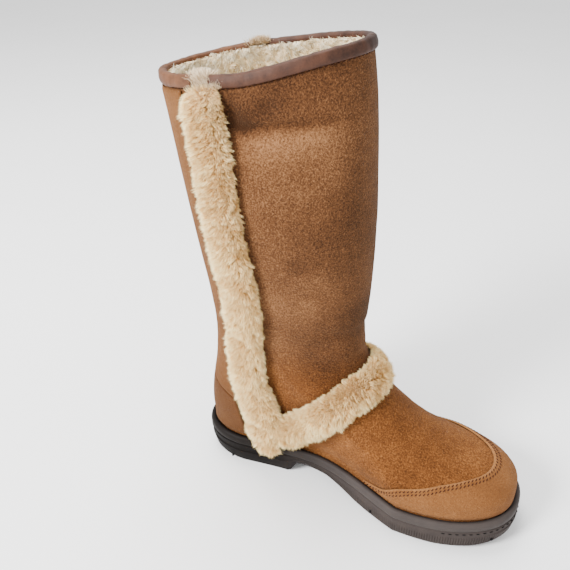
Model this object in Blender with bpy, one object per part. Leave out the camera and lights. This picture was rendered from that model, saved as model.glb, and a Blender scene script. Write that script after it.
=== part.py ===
"""A tall sheepskin boot, left foot: cup sole, hollow suede upper, overlays, fur trims and collar binding.

Metres, +X toward the toe, +Y toward the wearer's left, +Z up. The origin is on the floor
under the middle of the heel tread. Lengths in the tables are shares of the named sizes.
"""

import math
from collections import namedtuple

import bmesh
import bpy
import numpy as np

# Sole sizes
SOLE_LENGTH = 0.275
BALL_WIDTH = 0.108
HEEL_WIDTH = 0.077
WAIST_WIDTH = 0.074
HEEL_HEIGHT = 0.0305
BALL_HEIGHT = 0.0245
TOE_HEIGHT = 0.032
TOE_SPRING = 0.008
ARCH_RISE = 0.013
TOE_TURN = 0.005
HEEL_CENTRE = 0.16
TOE_TURN_START = 0.55

# Rim, insole and the line where the upper meets the sole
RIM_HEIGHT = 0.008
RIM_INSET = 0.0012
FEATHER_INSET = 0.0075
INSOLE_THICKNESS = 0.004
GAP = 0.0003
FIT_GAP = 0.0005
OVERLAY_GAP = 0.0007
INSOLE_GAP = 0.0018
RIM_GAP = 0.0008
RIM_STEP = 0.0008
RIM_SEAT = 0.95

# The rim's section: shares of its width from the upper outward, and of its height
RIM_SECTION = ((0, 0), (0.90, 0), (1.0, 0.30), (1.0, 0.62), (0.80, 0.92), (0.45, 1.0), (0, 1.0))

# Upper sizes
WALL = 0.0025
ANKLE_RISE = 0.106
COLLAR_FRONT_HEIGHT = 0.359
COLLAR_BACK_HEIGHT = 0.333
SHAFT_WIDTH = 0.104
OVERLAY_THICKNESS = 0.0013

# Collar binding
BINDING_HEIGHT = 0.0057
BINDING_INSIDE = 0.006
BINDING_THICKNESS = 0.0014
BINDING_SWELL = 0.0005
BINDING_GAP = 0.0006
HALF_SEAM = 0.018

# Overlay edges: the toe seam's level at shares of one side, and the half widths of the panel at the
# back at its levels, with the seam between its two parts
SeamPoint = namedtuple("SeamPoint", "share level")
TOE_SEAM = (
    SeamPoint(0.552, 1.12),
    SeamPoint(0.590, 1.45),
    SeamPoint(0.647, 2.65),
    SeamPoint(0.743, 3.60),
    SeamPoint(0.823, 4.25),
    SeamPoint(0.905, 4.50),
    SeamPoint(1.000, 4.42),
)
OVERLAY_FOOT = 1.04
COUNTER_LEVEL = 6.0
COUNTER_DROP = 0.8
COUNTER_SHARE = 0.190
STAY_LINE = (
    SeamPoint(0.190, 5.00),
    SeamPoint(0.205, 6.50),
    SeamPoint(0.222, 9.00),
    SeamPoint(0.262, 12.00),
    SeamPoint(0.285, 14.50),
    SeamPoint(0.285, 20.00),
)
STAY_SEAM = 0.12
STAY_TOP = 0.40

# Colours
BROWN_SUEDE = (0.30, 0.135, 0.05)
TAN_SUEDE = (0.40, 0.175, 0.065)
LEATHER = (0.14, 0.058, 0.03)
CREAM_FUR = (0.66, 0.52, 0.33)
CREAM_LINING = (0.72, 0.62, 0.46)
OUTSOLE_RUBBER = (0.055, 0.048, 0.044)
RIM_RUBBER = (0.085, 0.072, 0.064)

# Fur
FUR_WIDTH = 0.031
FUR_HEIGHT = 0.0135
LOCK_HEIGHT = 0.0035
LOCK_LEAN = 0.0025
LOCK_SPREAD = 0.13
LOCK_SEED = 7

# The roll's section: points over its arch, shares of its height at its edges and in between, the
# arch's exponent, and where its flat foot has points
ARCH_POINTS = 9
EDGE_SHARE = 0.14
ARCH_ROUND = 0.8
FOOT_SHARES = (-0.62, 0.0, 0.62)

# Middle lines of the fur, the same on both sides of the boot. Width and height are shares of the
# fur's own; stand lifts the roll off the upper, and drop lowers it, as shares of the rim's height.
FurPoint = namedtuple("FurPoint", "share level width height stand drop")
STRIP_LINE = (
    FurPoint(0.383, 19.58, 0.78, 0.50, 0.0, 0.0),
    FurPoint(0.384, 19.30, 0.96, 0.88, 0.0, 0.0),
    FurPoint(0.386, 18.90, 1.00, 1.00, 0.0, 0.0),
    FurPoint(0.394, 17.50, 1.00, 1.00, 0.0, 0.0),
    FurPoint(0.396, 16.00, 1.00, 1.00, 0.0, 0.0),
    FurPoint(0.403, 14.00, 1.00, 1.00, 0.0, 0.0),
    FurPoint(0.395, 12.80, 1.00, 1.00, 0.0, 0.0),
    FurPoint(0.369, 11.00, 1.00, 1.00, 0.0, 0.0),
    FurPoint(0.347, 9.30, 1.00, 1.00, 0.0, 0.0),
    FurPoint(0.318, 7.40, 1.05, 1.00, 0.0, 0.0),
    FurPoint(0.289, 5.20, 1.10, 1.00, 0.0, 0.0),
    FurPoint(0.272, 3.30, 1.10, 1.00, 0.0, 0.0),
    FurPoint(0.265, 2.10, 1.02, 0.95, 0.0, 0.0),
    FurPoint(0.265, 1.55, 0.86, 0.75, 0.3, 0.0),
    FurPoint(0.267, 1.30, 0.66, 0.45, 1.0, 0.1),
    FurPoint(0.269, 1.15, 0.38, 0.30, 1.1, 0.7),
)
BAND_LINE = (
    FurPoint(0.372, 4.25, 0.85, 0.94, 0.0, 0.0),
    FurPoint(0.402, 4.78, 0.95, 0.97, 0.0, 0.0),
    FurPoint(0.468, 5.82, 0.95, 0.93, 0.0, 0.0),
    FurPoint(0.568, 6.98, 0.93, 0.88, 0.0, 0.0),
    FurPoint(0.743, 8.36, 0.92, 0.81, 0.0, 0.0),
    FurPoint(0.853, 8.98, 0.91, 0.78, 0.0, 0.0),
    FurPoint(1.000, 9.28, 0.91, 0.78, 0.0, 0.0),
)
FUR_STEP = 0.0078
BAND_UPRIGHT_RINGS = 3
FUR_GAP = 0.0013

# Tread and side of the sole
TREAD_BEVEL = 0.0025
HEEL_DRAFT = 0.0040
FOREFOOT_DRAFT = 0.0010
RIB_DEPTH = 0.0009
SIDE_STEP = 0.0012
BAND_SHARE = 0.60
BAND_BEVEL = 0.0008
TOP_BEVEL = 0.0012
GROOVE_WIDTH = 0.0045
GROOVE_DEPTH = 0.0035
GROOVE_ANGLE = 0.22
EDGE_LAND = 0.0035
CUT_BELOW = 0.004
NOTCH_WIDTH = 0.0024
NOTCH_DEPTH = 0.0022
NOTCH_FOOT = 0.0030
NOTCH_TOP = 0.0068
GROOVES = (0.055, 0.120, 0.205, 0.275, 0.520, 0.590, 0.660, 0.730, 0.800, 0.870, 0.935)

# Mesh fineness
TURNS = 44
STATIONS = 52
DENSE = 181

# Share of a shaft ring's length in each of its round ends, and where the waist lies along a ring's side
OVAL_CAP = 0.49
WAIST_PLACE = 0.45

# Exponents of the round ends: 2 is an ellipse, and more is squarer
HEEL_ROUND = 2.3
TOE_ROUND = 2.36
SHAFT_ROUND = 2.1

# Heights along the sole: share of its length, share of the three top heights, share of arch or spring below
SoleLevel = namedtuple("SoleLevel", "along heel_top ball_top toe_top arch spring")
SOLE_LEVELS = (
    SoleLevel(0.000, 1.03, 0.00, 0.00, 0.00, 0.20),
    SoleLevel(0.035, 1.02, 0.00, 0.00, 0.00, 0.00),
    SoleLevel(0.200, 1.00, 0.00, 0.00, 0.00, 0.00),
    SoleLevel(0.312, 0.81, 0.19, 0.00, 0.00, 0.00),
    SoleLevel(0.324, 0.78, 0.22, 0.00, 0.22, 0.00),
    SoleLevel(0.342, 0.76, 0.24, 0.00, 0.90, 0.00),
    SoleLevel(0.362, 0.70, 0.30, 0.00, 1.00, 0.00),
    SoleLevel(0.440, 0.50, 0.50, 0.00, 0.80, 0.00),
    SoleLevel(0.540, 0.26, 0.74, 0.00, 0.10, 0.00),
    SoleLevel(0.580, 0.18, 0.82, 0.00, 0.00, 0.00),
    SoleLevel(0.700, 0.00, 1.00, 0.00, 0.00, 0.00),
    SoleLevel(0.800, 0.00, 0.80, 0.20, 0.00, 0.05),
    SoleLevel(0.900, 0.00, 0.40, 0.60, 0.00, 0.40),
    SoleLevel(1.000, 0.00, 0.00, 1.00, 0.00, 1.00),
)

# Rows of SOLE_LEVELS where the heel's breast begins and ends
BREAST_FIRST = 3
BREAST_LAST = 6

# The sole seen from above, each side by itself, as shares of the half widths. The last's own waist
# is fuller than the sole's.
SoleSide = namedtuple("SoleSide", "sign heel waist ball ball_at last_waist")
MEDIAL = SoleSide(-1, 0.98, 0.82, 1.00, 0.675, 0.92)
LATERAL = SoleSide(1, 1.00, 1.02, 1.00, 0.610, 1.02)

# Small notches in the side of the sole: place along it and side
NOTCHES = (
    (0.127, MEDIAL),
    (0.603, MEDIAL),
    (0.945, MEDIAL),
    (0.127, LATERAL),
    (0.603, LATERAL),
    (0.945, LATERAL),
)

# Rings of the upper from the sole seat to the collar. Shares: x of SOLE_LENGTH; rise -1 at the foot
# of the rim, 0 at its top, 1 at ANKLE_RISE above it and 2 at the collar; heel, waist and ball of the half
# widths at the feather line; oval from foot shape to oval shaft; shaft of half the SHAFT_WIDTH;
# sole from free ring to the sole's own outline.
Ring = namedtuple("Ring", "name back back_rise front front_rise heel waist ball oval shaft sole")
UPPER_RINGS = (
    Ring("seat", 0.027, -1.000, 0.973, -1.000, 1.00, 1.00, 1.00, 0.00, 0.68, 1.0),
    Ring("rim", 0.026, 0.005, 0.974, 0.005, 1.00, 1.00, 1.00, 0.00, 0.68, 1.0),
    Ring("wall", 0.023, 0.090, 0.972, 0.095, 1.03, 1.04, 1.01, 0.00, 0.68, 0.4),
    Ring("toe_low", 0.022, 0.180, 0.957, 0.170, 1.05, 1.08, 0.97, 0.02, 0.68, 0.0),
    Ring("toe_mid", 0.023, 0.270, 0.925, 0.225, 1.06, 1.10, 0.90, 0.06, 0.68, 0.0),
    Ring("toe_top", 0.026, 0.360, 0.870, 0.275, 1.06, 1.12, 0.82, 0.12, 0.68, 0.0),
    Ring("vamp_low", 0.031, 0.450, 0.790, 0.340, 1.06, 1.12, 0.76, 0.22, 0.68, 0.0),
    Ring("vamp_mid", 0.037, 0.545, 0.700, 0.440, 1.05, 1.11, 0.72, 0.36, 0.68, 0.0),
    Ring("vamp_top", 0.042, 0.640, 0.615, 0.570, 1.04, 1.09, 0.70, 0.54, 0.68, 0.0),
    Ring("instep", 0.045, 0.740, 0.550, 0.715, 1.03, 1.06, 0.70, 0.72, 0.68, 0.0),
    Ring("notch", 0.047, 0.860, 0.512, 0.860, 1.02, 1.03, 0.70, 0.88, 0.68, 0.0),
    Ring("ankle", 0.046, 1.000, 0.497, 1.000, 1.00, 1.00, 0.70, 1.00, 0.70, 0.0),
    Ring("low_1", 0.041, 1.095, 0.500, 1.095, 1.00, 1.00, 0.70, 1.00, 0.76, 0.0),
    Ring("low_2", 0.033, 1.200, 0.504, 1.200, 1.00, 1.00, 0.70, 1.00, 0.84, 0.0),
    Ring("calf_1", 0.022, 1.310, 0.505, 1.310, 1.00, 1.00, 0.70, 1.00, 0.92, 0.0),
    Ring("calf_2", 0.009, 1.430, 0.503, 1.430, 1.00, 1.00, 0.70, 1.00, 0.98, 0.0),
    Ring("calf_3", -0.006, 1.550, 0.499, 1.550, 1.00, 1.00, 0.70, 1.00, 1.00, 0.0),
    Ring("calf_4", -0.022, 1.670, 0.494, 1.670, 1.00, 1.00, 0.70, 1.00, 0.99, 0.0),
    Ring("calf_5", -0.039, 1.790, 0.488, 1.790, 1.00, 1.00, 0.70, 1.00, 0.95, 0.0),
    Ring("collar_low", -0.055, 1.900, 0.4775, 1.900, 1.00, 1.00, 0.70, 1.00, 0.91, 0.0),
    Ring("collar", -0.070, 2.000, 0.464, 2.000, 1.00, 1.00, 0.70, 1.00, 0.87, 0.0),
)

# How far the collar sags below a straight line from back to front, on each side
RimPoint = namedtuple("RimPoint", "along medial lateral")
RIM_SAG = (
    RimPoint(0.00, 0.0030, 0.0030),
    RimPoint(0.12, 0.0046, 0.0015),
    RimPoint(0.32, 0.0058, 0.0000),
    RimPoint(0.52, 0.0070, 0.0000),
    RimPoint(0.64, 0.0056, 0.0000),
    RimPoint(0.78, 0.0028, 0.0000),
    RimPoint(0.90, 0.0008, 0.0000),
    RimPoint(1.00, 0.0000, 0.0000),
)
SAG_LEVELS = 4.0

# Levels between which the rings stop following the sole's top line and turn level
FOOT_LEVEL = 6
ANKLE_LEVEL = 11


def smooth_between(knots, values, at):
    """A monotone cubic curve through the knots, held flat outside them."""
    knots = np.asarray(knots, float)
    values = np.asarray(values, float)
    at = np.clip(np.asarray(at, float), knots[0], knots[-1])
    step = np.diff(knots)
    slope = np.diff(values) / step
    tangent = np.zeros(len(knots))
    tangent[0] = slope[0]
    tangent[-1] = slope[-1]
    for i in range(1, len(knots) - 1):
        before = slope[i - 1]
        after = slope[i]
        if before * after > 0:
            near = 2 * step[i] + step[i - 1]
            far = step[i] + 2 * step[i - 1]
            tangent[i] = (near + far) / (near / before + far / after)
    i = np.clip(np.searchsorted(knots, at, side="right") - 1, 0, len(knots) - 2)
    t = (at - knots[i]) / step[i]
    rise_in = tangent[i] * step[i]
    rise_out = tangent[i + 1] * step[i]
    return (
        values[i] * (1 + 2 * t) * (1 - t) ** 2
        + rise_in * t * (1 - t) ** 2
        + values[i + 1] * t * t * (3 - 2 * t)
        + rise_out * t * t * (t - 1)
    )


def column(rows, name):
    return np.array([getattr(row, name) for row in rows])


def rim_top(x):
    """Height of the rim's top edge at a distance from the back of the sole."""
    along = column(SOLE_LEVELS, "along")
    tops = (
        column(SOLE_LEVELS, "heel_top") * HEEL_HEIGHT
        + column(SOLE_LEVELS, "ball_top") * BALL_HEIGHT
        + column(SOLE_LEVELS, "toe_top") * TOE_HEIGHT
    )
    return smooth_between(along, tops, np.asarray(x) / SOLE_LENGTH)


def tread_height(x):
    """Height of the sole's underside: heel flat, breast, arch, forefoot flat and toe spring."""
    along = column(SOLE_LEVELS, "along")
    under = (
        column(SOLE_LEVELS, "arch") * ARCH_RISE
        + column(SOLE_LEVELS, "spring") * TOE_SPRING
    )
    return np.interp(np.asarray(x) / SOLE_LENGTH, along, under)


def body_top(x):
    """Top of the outsole, under the rim, the upper and the insole."""
    return rim_top(x) - RIM_HEIGHT - GAP


def half_loop(back, front, heel, waist, ball, rear_cap, front_cap, rear_round, front_round):
    """One side of a ring seen from above, from its back centre to its front centre."""
    length = front - back
    rear = rear_cap * length
    fore = front_cap * length
    turn = np.linspace(0, math.pi / 2, DENSE)
    rear_x = back + rear * (1 - np.cos(turn) ** (2 / rear_round))
    rear_y = heel * np.sin(turn) ** (2 / rear_round)
    fore_x = front - fore * (1 - np.sin(turn) ** (2 / front_round))
    fore_y = ball * np.cos(turn) ** (2 / front_round)
    straight = length - fore - rear
    side_x = back + rear + np.linspace(0, 1, DENSE)[1:-1] * straight
    side_y = smooth_between((0, WAIST_PLACE, 1), (heel, waist, ball), np.linspace(0, 1, DENSE)[1:-1])
    return np.column_stack(
        [np.concatenate([rear_x, side_x, fore_x]), np.concatenate([rear_y, side_y, fore_y])]
    )


def resample(line, shares):
    """Points at these shares of a line's own length."""
    steps = np.linalg.norm(np.diff(line, axis=0), axis=1)
    run = np.concatenate([[0], np.cumsum(steps)])
    run = run / run[-1]
    return np.column_stack([np.interp(shares, run, line[:, k]) for k in range(line.shape[1])])


def inward(line):
    """Unit normals of one side's line, pointing to the ring's middle."""
    along = np.gradient(line, axis=0)
    along /= np.linalg.norm(along, axis=1)[:, None] + 1e-12
    return np.column_stack([along[:, 1], -along[:, 0]])


def sole_side(side, inset=0.0, shares=None):
    """One side of the sole's outline, y measured outward, moved in by the inset."""
    if shares is None:
        shares = np.linspace(0, 1, DENSE)
    line = half_loop(
        0.0,
        SOLE_LENGTH,
        side.heel * HEEL_WIDTH / 2,
        side.waist * WAIST_WIDTH / 2,
        side.ball * BALL_WIDTH / 2,
        HEEL_CENTRE,
        1 - side.ball_at,
        HEEL_ROUND,
        TOE_ROUND,
    )
    line = resample(line, np.linspace(0, 1, DENSE))
    line = line + inward(line) * inset
    line[0, 1] = 0.0
    line[-1, 1] = 0.0
    return resample(line, shares)


def toe_turn(x):
    """How far the toe leans toward the medial side, which gives the last its left shape."""
    reach = np.clip((np.asarray(x) / SOLE_LENGTH - TOE_TURN_START) / (1 - TOE_TURN_START), 0, 1)
    return -TOE_TURN * reach**1.5


def rise_height(share, collar_height):
    """Height above the rim's top of a rise share: -1 at the sole seat, 1 at the ankle, 2 at the collar."""
    foot = ANKLE_RISE if share > 0 else RIM_HEIGHT
    shaft = collar_height - HEEL_HEIGHT - ANKLE_RISE
    return foot * min(share, 1) + shaft * max(share - 1, 0)


def ring_side(side, level, shares):
    """Points of one side of the ring at a level, which is a row number and may lie between rows."""
    rows = np.arange(len(UPPER_RINGS))
    value = {
        name: float(smooth_between(rows, column(UPPER_RINGS, name), level))
        for name in Ring._fields[1:]
    }
    oval = value["oval"]
    back = value["back"] * SOLE_LENGTH
    front = value["front"] * SOLE_LENGTH
    shaft = value["shaft"] * SHAFT_WIDTH / 2
    heel = value["heel"] * (side.heel * HEEL_WIDTH / 2 - FEATHER_INSET)
    waist = value["waist"] * (side.last_waist * WAIST_WIDTH / 2 - FEATHER_INSET)
    ball = value["ball"] * (side.ball * BALL_WIDTH / 2 - FEATHER_INSET)
    own = half_loop(
        back,
        front,
        heel + (shaft - heel) * oval,
        waist + (shaft - waist) * oval,
        ball + (shaft - ball) * oval,
        HEEL_CENTRE + (OVAL_CAP - HEEL_CENTRE) * oval,
        (1 - side.ball_at) + (OVAL_CAP - 1 + side.ball_at) * oval,
        HEEL_ROUND + (SHAFT_ROUND - HEEL_ROUND) * oval,
        TOE_ROUND + (SHAFT_ROUND - TOE_ROUND) * oval,
    )
    plan = resample(own, shares)
    if value["sole"] > 0:
        plan += value["sole"] * (sole_side(side, FEATHER_INSET, shares) - plan)
    along = np.clip((plan[:, 0] - back) / (front - back), 0, 1)
    above = (
        rise_height(value["back_rise"], COLLAR_BACK_HEIGHT) * (1 - along)
        + rise_height(value["front_rise"], COLLAR_FRONT_HEIGHT) * along
    )
    name = "medial" if side.sign < 0 else "lateral"
    sag = smooth_between(column(RIM_SAG, "along"), column(RIM_SAG, name), along)
    reach = np.clip((level - len(UPPER_RINGS) + 1) / SAG_LEVELS + 1, 0, 1)
    above -= sag * reach**1.5
    shaft_share = np.clip((level - FOOT_LEVEL) / (ANKLE_LEVEL - FOOT_LEVEL), 0, 1)
    seat = rim_top(plan[:, 0]) * (1 - shaft_share) + HEEL_HEIGHT * shaft_share
    centre = toe_turn(plan[:, 0])
    return np.column_stack([plan[:, 0], centre + side.sign * plan[:, 1], seat + above])


class UpperSurface:
    """The upper's outer surface, asked by turn and level. Turn 0 is the back centre, 0 to 0.5 the
    medial side, 0.5 the front centre and 0.5 to 1 the lateral side."""

    def __init__(self, columns=240, rows_between=8):
        self.last = len(UPPER_RINGS) - 1
        self.rows_between = rows_between
        self.columns = columns
        shares = np.linspace(0, 1, columns // 2 + 1)
        levels = np.linspace(0, self.last, self.last * rows_between + 1)
        rings = []
        for level in levels:
            medial = ring_side(MEDIAL, level, shares)
            lateral = ring_side(LATERAL, level, shares)
            rings.append(np.vstack([medial, lateral[-2:0:-1]]))
        self.points = np.array(rings)
        around = np.roll(self.points, -1, axis=1) - np.roll(self.points, 1, axis=1)
        upward = np.gradient(self.points, axis=0)
        normals = np.cross(around, upward)
        self.normals = normals / np.linalg.norm(normals, axis=2)[:, :, None]

    def sample(self, grid, turn, level):
        column_at = (np.asarray(turn, float) % 1.0) * self.columns
        row_at = np.clip(np.asarray(level, float), 0, self.last) * self.rows_between
        left = np.floor(column_at).astype(int)
        low = np.minimum(np.floor(row_at).astype(int), len(grid) - 2)
        across = (column_at - left)[..., None]
        up = (row_at - low)[..., None]
        left = left % self.columns
        right = (left + 1) % self.columns
        lower = grid[low, left] * (1 - across) + grid[low, right] * across
        upper = grid[low + 1, left] * (1 - across) + grid[low + 1, right] * across
        return lower * (1 - up) + upper * up

    def at(self, turn, level, out=0.0):
        """World points this far outside the surface."""
        normal = self.sample(self.normals, turn, level)
        normal = normal / np.linalg.norm(normal, axis=-1)[..., None]
        return self.sample(self.points, turn, level) + np.asarray(out)[..., None] * normal

    def step(self, turn, level, vector):
        """Turn and level reached by going along a tangent vector from one place."""
        near = 1e-3
        here = self.at(turn, level)
        by_turn = (self.at(turn + near, level) - here) / near
        by_level = (self.at(turn, level + 0.05) - self.at(turn, level - 0.05)) / 0.1
        share, _, _, _ = np.linalg.lstsq(np.column_stack([by_turn, by_level]), vector, rcond=None)
        return turn + share[0], level + share[1]


def clear_scene():
    for item in list(bpy.data.objects):
        bpy.data.objects.remove(item, do_unlink=True)


def finish_material(name, colour, roughness):
    material = bpy.data.materials.new(name)
    material.use_nodes = True
    shader = material.node_tree.nodes["Principled BSDF"]
    shader.inputs["Base Color"].default_value = (*colour, 1.0)
    shader.inputs["Roughness"].default_value = roughness
    material.diffuse_color = (*colour, 1.0)
    return material


def solid_object(name, points, faces, material, smooth=True):
    """A named object with its own material, its faces turned outward."""
    mesh = bpy.data.meshes.new(name)
    mesh.from_pydata([tuple(point) for point in points], [], faces)
    shaper = bmesh.new()
    shaper.from_mesh(mesh)
    bmesh.ops.remove_doubles(shaper, verts=shaper.verts, dist=1e-6)
    bmesh.ops.triangulate(shaper, faces=shaper.faces)
    bmesh.ops.recalc_face_normals(shaper, faces=shaper.faces)
    shaper.to_mesh(mesh)
    shaper.free()
    item = bpy.data.objects.new(name, mesh)
    bpy.context.scene.collection.objects.link(item)
    if material:
        mesh.materials.append(material)
    for face in mesh.polygons:
        face.use_smooth = smooth
    return item


def strip_faces(rows, columns, start=0, closed=False, flip=False):
    """Quads of a grid of points, stored row by row."""
    faces = []
    for row in range(rows - 1):
        for column_number in range(columns if closed else columns - 1):
            beside = (column_number + 1) % columns
            low = start + row * columns
            high = low + columns
            quad = (low + column_number, low + beside, high + beside, high + column_number)
            faces.append(quad[::-1] if flip else quad)
    return faces


def sheet_solid(name, outer, inner, material, closed=False):
    """A wall between two grids of the same shape. A closed one runs round the boot, an open one has four edges."""
    rows, columns = outer.shape[:2]
    half = rows * columns
    points = np.vstack([outer.reshape(-1, 3), inner.reshape(-1, 3)])
    faces = strip_faces(rows, columns, 0, closed)
    faces += strip_faces(rows, columns, half, closed, flip=True)
    ends = columns if closed else columns - 1
    for first in (0, (rows - 1) * columns):
        for column_number in range(ends):
            here = first + column_number
            beside = first + (column_number + 1) % columns
            faces.append((here, beside, half + beside, half + here))
    if not closed:
        for first in (0, columns - 1):
            for row in range(rows - 1):
                here = first + row * columns
                above = here + columns
                faces.append((here, above, half + above, half + here))
    return solid_object(name, points, faces, material)


def ring_solid(name, rings, material, closed=False, smooth=True):
    """A tube of sections with the same number of points, capped at both ends or run round in a circle."""
    rings = np.asarray(rings)
    count, around = rings.shape[:2]
    faces = strip_faces(count, around, 0, closed=True)
    if closed:
        last = (count - 1) * around
        for k in range(around):
            beside = (k + 1) % around
            faces.append((last + k, last + beside, beside, k))
    else:
        faces.append(tuple(range(around)))
        faces.append(tuple(range((count - 1) * around, count * around))[::-1])
    return solid_object(name, rings.reshape(-1, 3), faces, material, smooth)


def sole_stations():
    """Shares of the sole's length where its outline has points, closer near the ends, with two at the breast."""
    even = np.linspace(0, 1, STATIONS + 1)
    shares = 0.45 * even + 0.55 * (1 - np.cos(math.pi * even)) / 2
    for level in SOLE_LEVELS[BREAST_FIRST : BREAST_LAST + 1]:
        nearest = int(np.argmin(np.abs(shares - level.along)))
        shares[nearest] = level.along
    return shares


def sole_ring(inset, height):
    """The outline moved in by an inset for each station, round the medial side and back along the lateral one."""
    x = sole_stations() * SOLE_LENGTH
    inset = np.broadcast_to(inset, x.shape)
    sides = []
    for side in (MEDIAL, LATERAL):
        line = sole_side(side)
        normal = inward(line)
        y = np.interp(x, line[:, 0], line[:, 1])
        inward_x = np.interp(x, line[:, 0], normal[:, 0])
        inward_y = np.interp(x, line[:, 0], normal[:, 1])
        inward_x[0] = 1.0
        inward_x[-1] = -1.0
        inward_y[[0, -1]] = 0.0
        place_x = x + inward_x * inset
        place_y = toe_turn(x) + side.sign * (y + inward_y * inset)
        sides.append(np.column_stack([place_x, place_y, height(x)]))
    return np.vstack([sides[0], sides[1][-2:0:-1]])


def cap_across(start, flip):
    """Faces that close a sole ring straight across, station by station, so that the arch keeps its form."""
    around = 2 * STATIONS
    faces = []
    for station in range(STATIONS):
        medial = start + station
        medial_next = start + station + 1
        lateral = start + (around - station) % around
        lateral_next = start + (around - station - 1) % around
        corners = []
        for corner in (medial, medial_next, lateral_next, lateral):
            if corner not in corners:
                corners.append(corner)
        faces.append(tuple(corners[::-1]) if flip else tuple(corners))
    return faces


def side_band(x):
    """Height where the ribbed lower band of the side ends."""
    return tread_height(x) + BAND_SHARE * (body_top(x) - tread_height(x))


def side_draft(x):
    """How far the foot of the side stands in from the rim, most at the heel."""
    forward = np.clip(np.asarray(x) / SOLE_LENGTH / SOLE_LEVELS[BREAST_LAST].along, 0, 1)
    return HEEL_DRAFT + (FOREFOOT_DRAFT - HEEL_DRAFT) * forward**3


def tread_half_width(side, x):
    """Half the tread's flat width at a distance from the back of the sole."""
    line = sole_side(side)
    return np.interp(x, line[:, 0], line[:, 1]) - side_draft(x) - TREAD_BEVEL - SIDE_STEP


def bar(points, faces, plan, low, high):
    """Adds an upright bar with this plan, between two heights of each corner, to points and faces."""
    start = len(points)
    count = len(plan)
    points += [(x, y, z) for (x, y), z in zip(plan, low)]
    points += [(x, y, z) for (x, y), z in zip(plan, high)]
    for k in range(count // 2 - 1):
        a, b = k, k + 1
        c, d = count - 2 - k, count - 1 - k
        faces.append(tuple(start + n for n in (a, b, c, d)))
        faces.append(tuple(start + count + n for n in (d, c, b, a)))
    for a in range(count):
        b = (a + 1) % count
        faces.append((start + a, start + count + a, start + count + b, start + b))


def groove_cutter():
    """One mesh of separate chevron bars, which cut the tread into lugs inside its edge, and of the
    small blocks that notch the edge."""
    points = []
    faces = []
    for along in GROOVES:
        x = along * SOLE_LENGTH
        middle = toe_turn(x)
        reach = [tread_half_width(side, x) - EDGE_LAND for side in (MEDIAL, LATERAL)]
        front = []
        for side, out in ((-1, reach[0]), (0, 0.0), (1, reach[1])):
            front.append((x + GROOVE_WIDTH / 2 - out * GROOVE_ANGLE, middle + side * out))
        plan = front + [(place - GROOVE_WIDTH, y) for place, y in front[::-1]]
        under = [float(tread_height(place)) for place, _ in plan]
        bar(points, faces, plan, [z - CUT_BELOW for z in under], [z + GROOVE_DEPTH for z in under])
    for along, side in NOTCHES:
        x = along * SOLE_LENGTH
        edge = tread_half_width(side, x) + side_draft(x) + TREAD_BEVEL
        middle = toe_turn(x)
        plan = []
        for place, out in ((-0.5, 0), (0.5, 0), (0.5, 1), (-0.5, 1)):
            y = edge - NOTCH_DEPTH + out * (NOTCH_DEPTH + 2 * CUT_BELOW)
            plan.append((x + place * NOTCH_WIDTH, middle + side.sign * y))
        under = [float(tread_height(place)) for place, _ in plan]
        bar(points, faces, plan, [z + NOTCH_FOOT for z in under], [z + NOTCH_TOP for z in under])
    cutter = solid_object("tread_groove_cutter", points, faces, None, smooth=False)
    cutter.hide_render = True
    cutter.display_type = "WIRE"
    return cutter


def cut_away(item, cutter, name):
    cut = item.modifiers.new(name, "BOOLEAN")
    cut.operation = "DIFFERENCE"
    cut.solver = "EXACT"
    cut.object = cutter


def make_outsole():
    """Cup sole body: bevelled tread edge, ribbed lower band, a step, a plain upper band and a flat top."""
    ribs = RIB_DEPTH * (np.arange(STATIONS + 1) % 2)
    draft = side_draft(sole_stations() * SOLE_LENGTH)
    rings = [
        sole_ring(draft + TREAD_BEVEL + SIDE_STEP, tread_height),
        sole_ring(draft + SIDE_STEP + ribs, lambda x: tread_height(x) + TREAD_BEVEL),
        sole_ring((1 - BAND_SHARE) * draft + ribs, side_band),
        sole_ring((1 - BAND_SHARE) * draft + SIDE_STEP, lambda x: side_band(x) + BAND_BEVEL),
        sole_ring(SIDE_STEP, lambda x: body_top(x) - TOP_BEVEL),
        sole_ring(SIDE_STEP + TOP_BEVEL, body_top),
    ]
    around = 2 * STATIONS
    faces = strip_faces(len(rings), around, 0, closed=True)
    faces += cap_across(0, flip=True)
    faces += cap_across((len(rings) - 1) * around, flip=False)
    material = finish_material("outsole_rubber", OUTSOLE_RUBBER, 0.62)
    outsole = solid_object("outsole", np.vstack(rings), faces, material)
    cut_away(outsole, groove_cutter(), "tread_grooves")
    return outsole


def make_welt_rim(surface):
    """The rounded rim over the groove line, between the outsole's edge and the upper."""
    turns = np.arange(STATIONS) / STATIONS
    inner_foot = surface.at(turns, np.zeros(len(turns)), RIM_GAP)
    inner_top = surface.at(turns, np.full(len(turns), RIM_SEAT), RIM_GAP)
    width = FEATHER_INSET - RIM_INSET - RIM_GAP
    rows = []
    for foot, top, turn in zip(inner_foot, inner_top, turns):
        outward = surface.sample(surface.normals, turn, 0.0) * (1, 1, 0)
        outward = outward / np.linalg.norm(outward)
        base = np.array([foot[0], foot[1], 0.0])
        high = RIM_HEIGHT - RIM_STEP
        section = []
        for across, up in RIM_SECTION:
            place = base + outward * width * across
            if across == 0 and up == 1.0:
                place[:2] = top[:2]
            place[2] = body_top(place[0]) + GAP + high * up
            section.append(place)
        rows.append(section)
    material = finish_material("rim_rubber", RIM_RUBBER, 0.5)
    return ring_solid("welt_rim", rows, material, closed=True)


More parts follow.
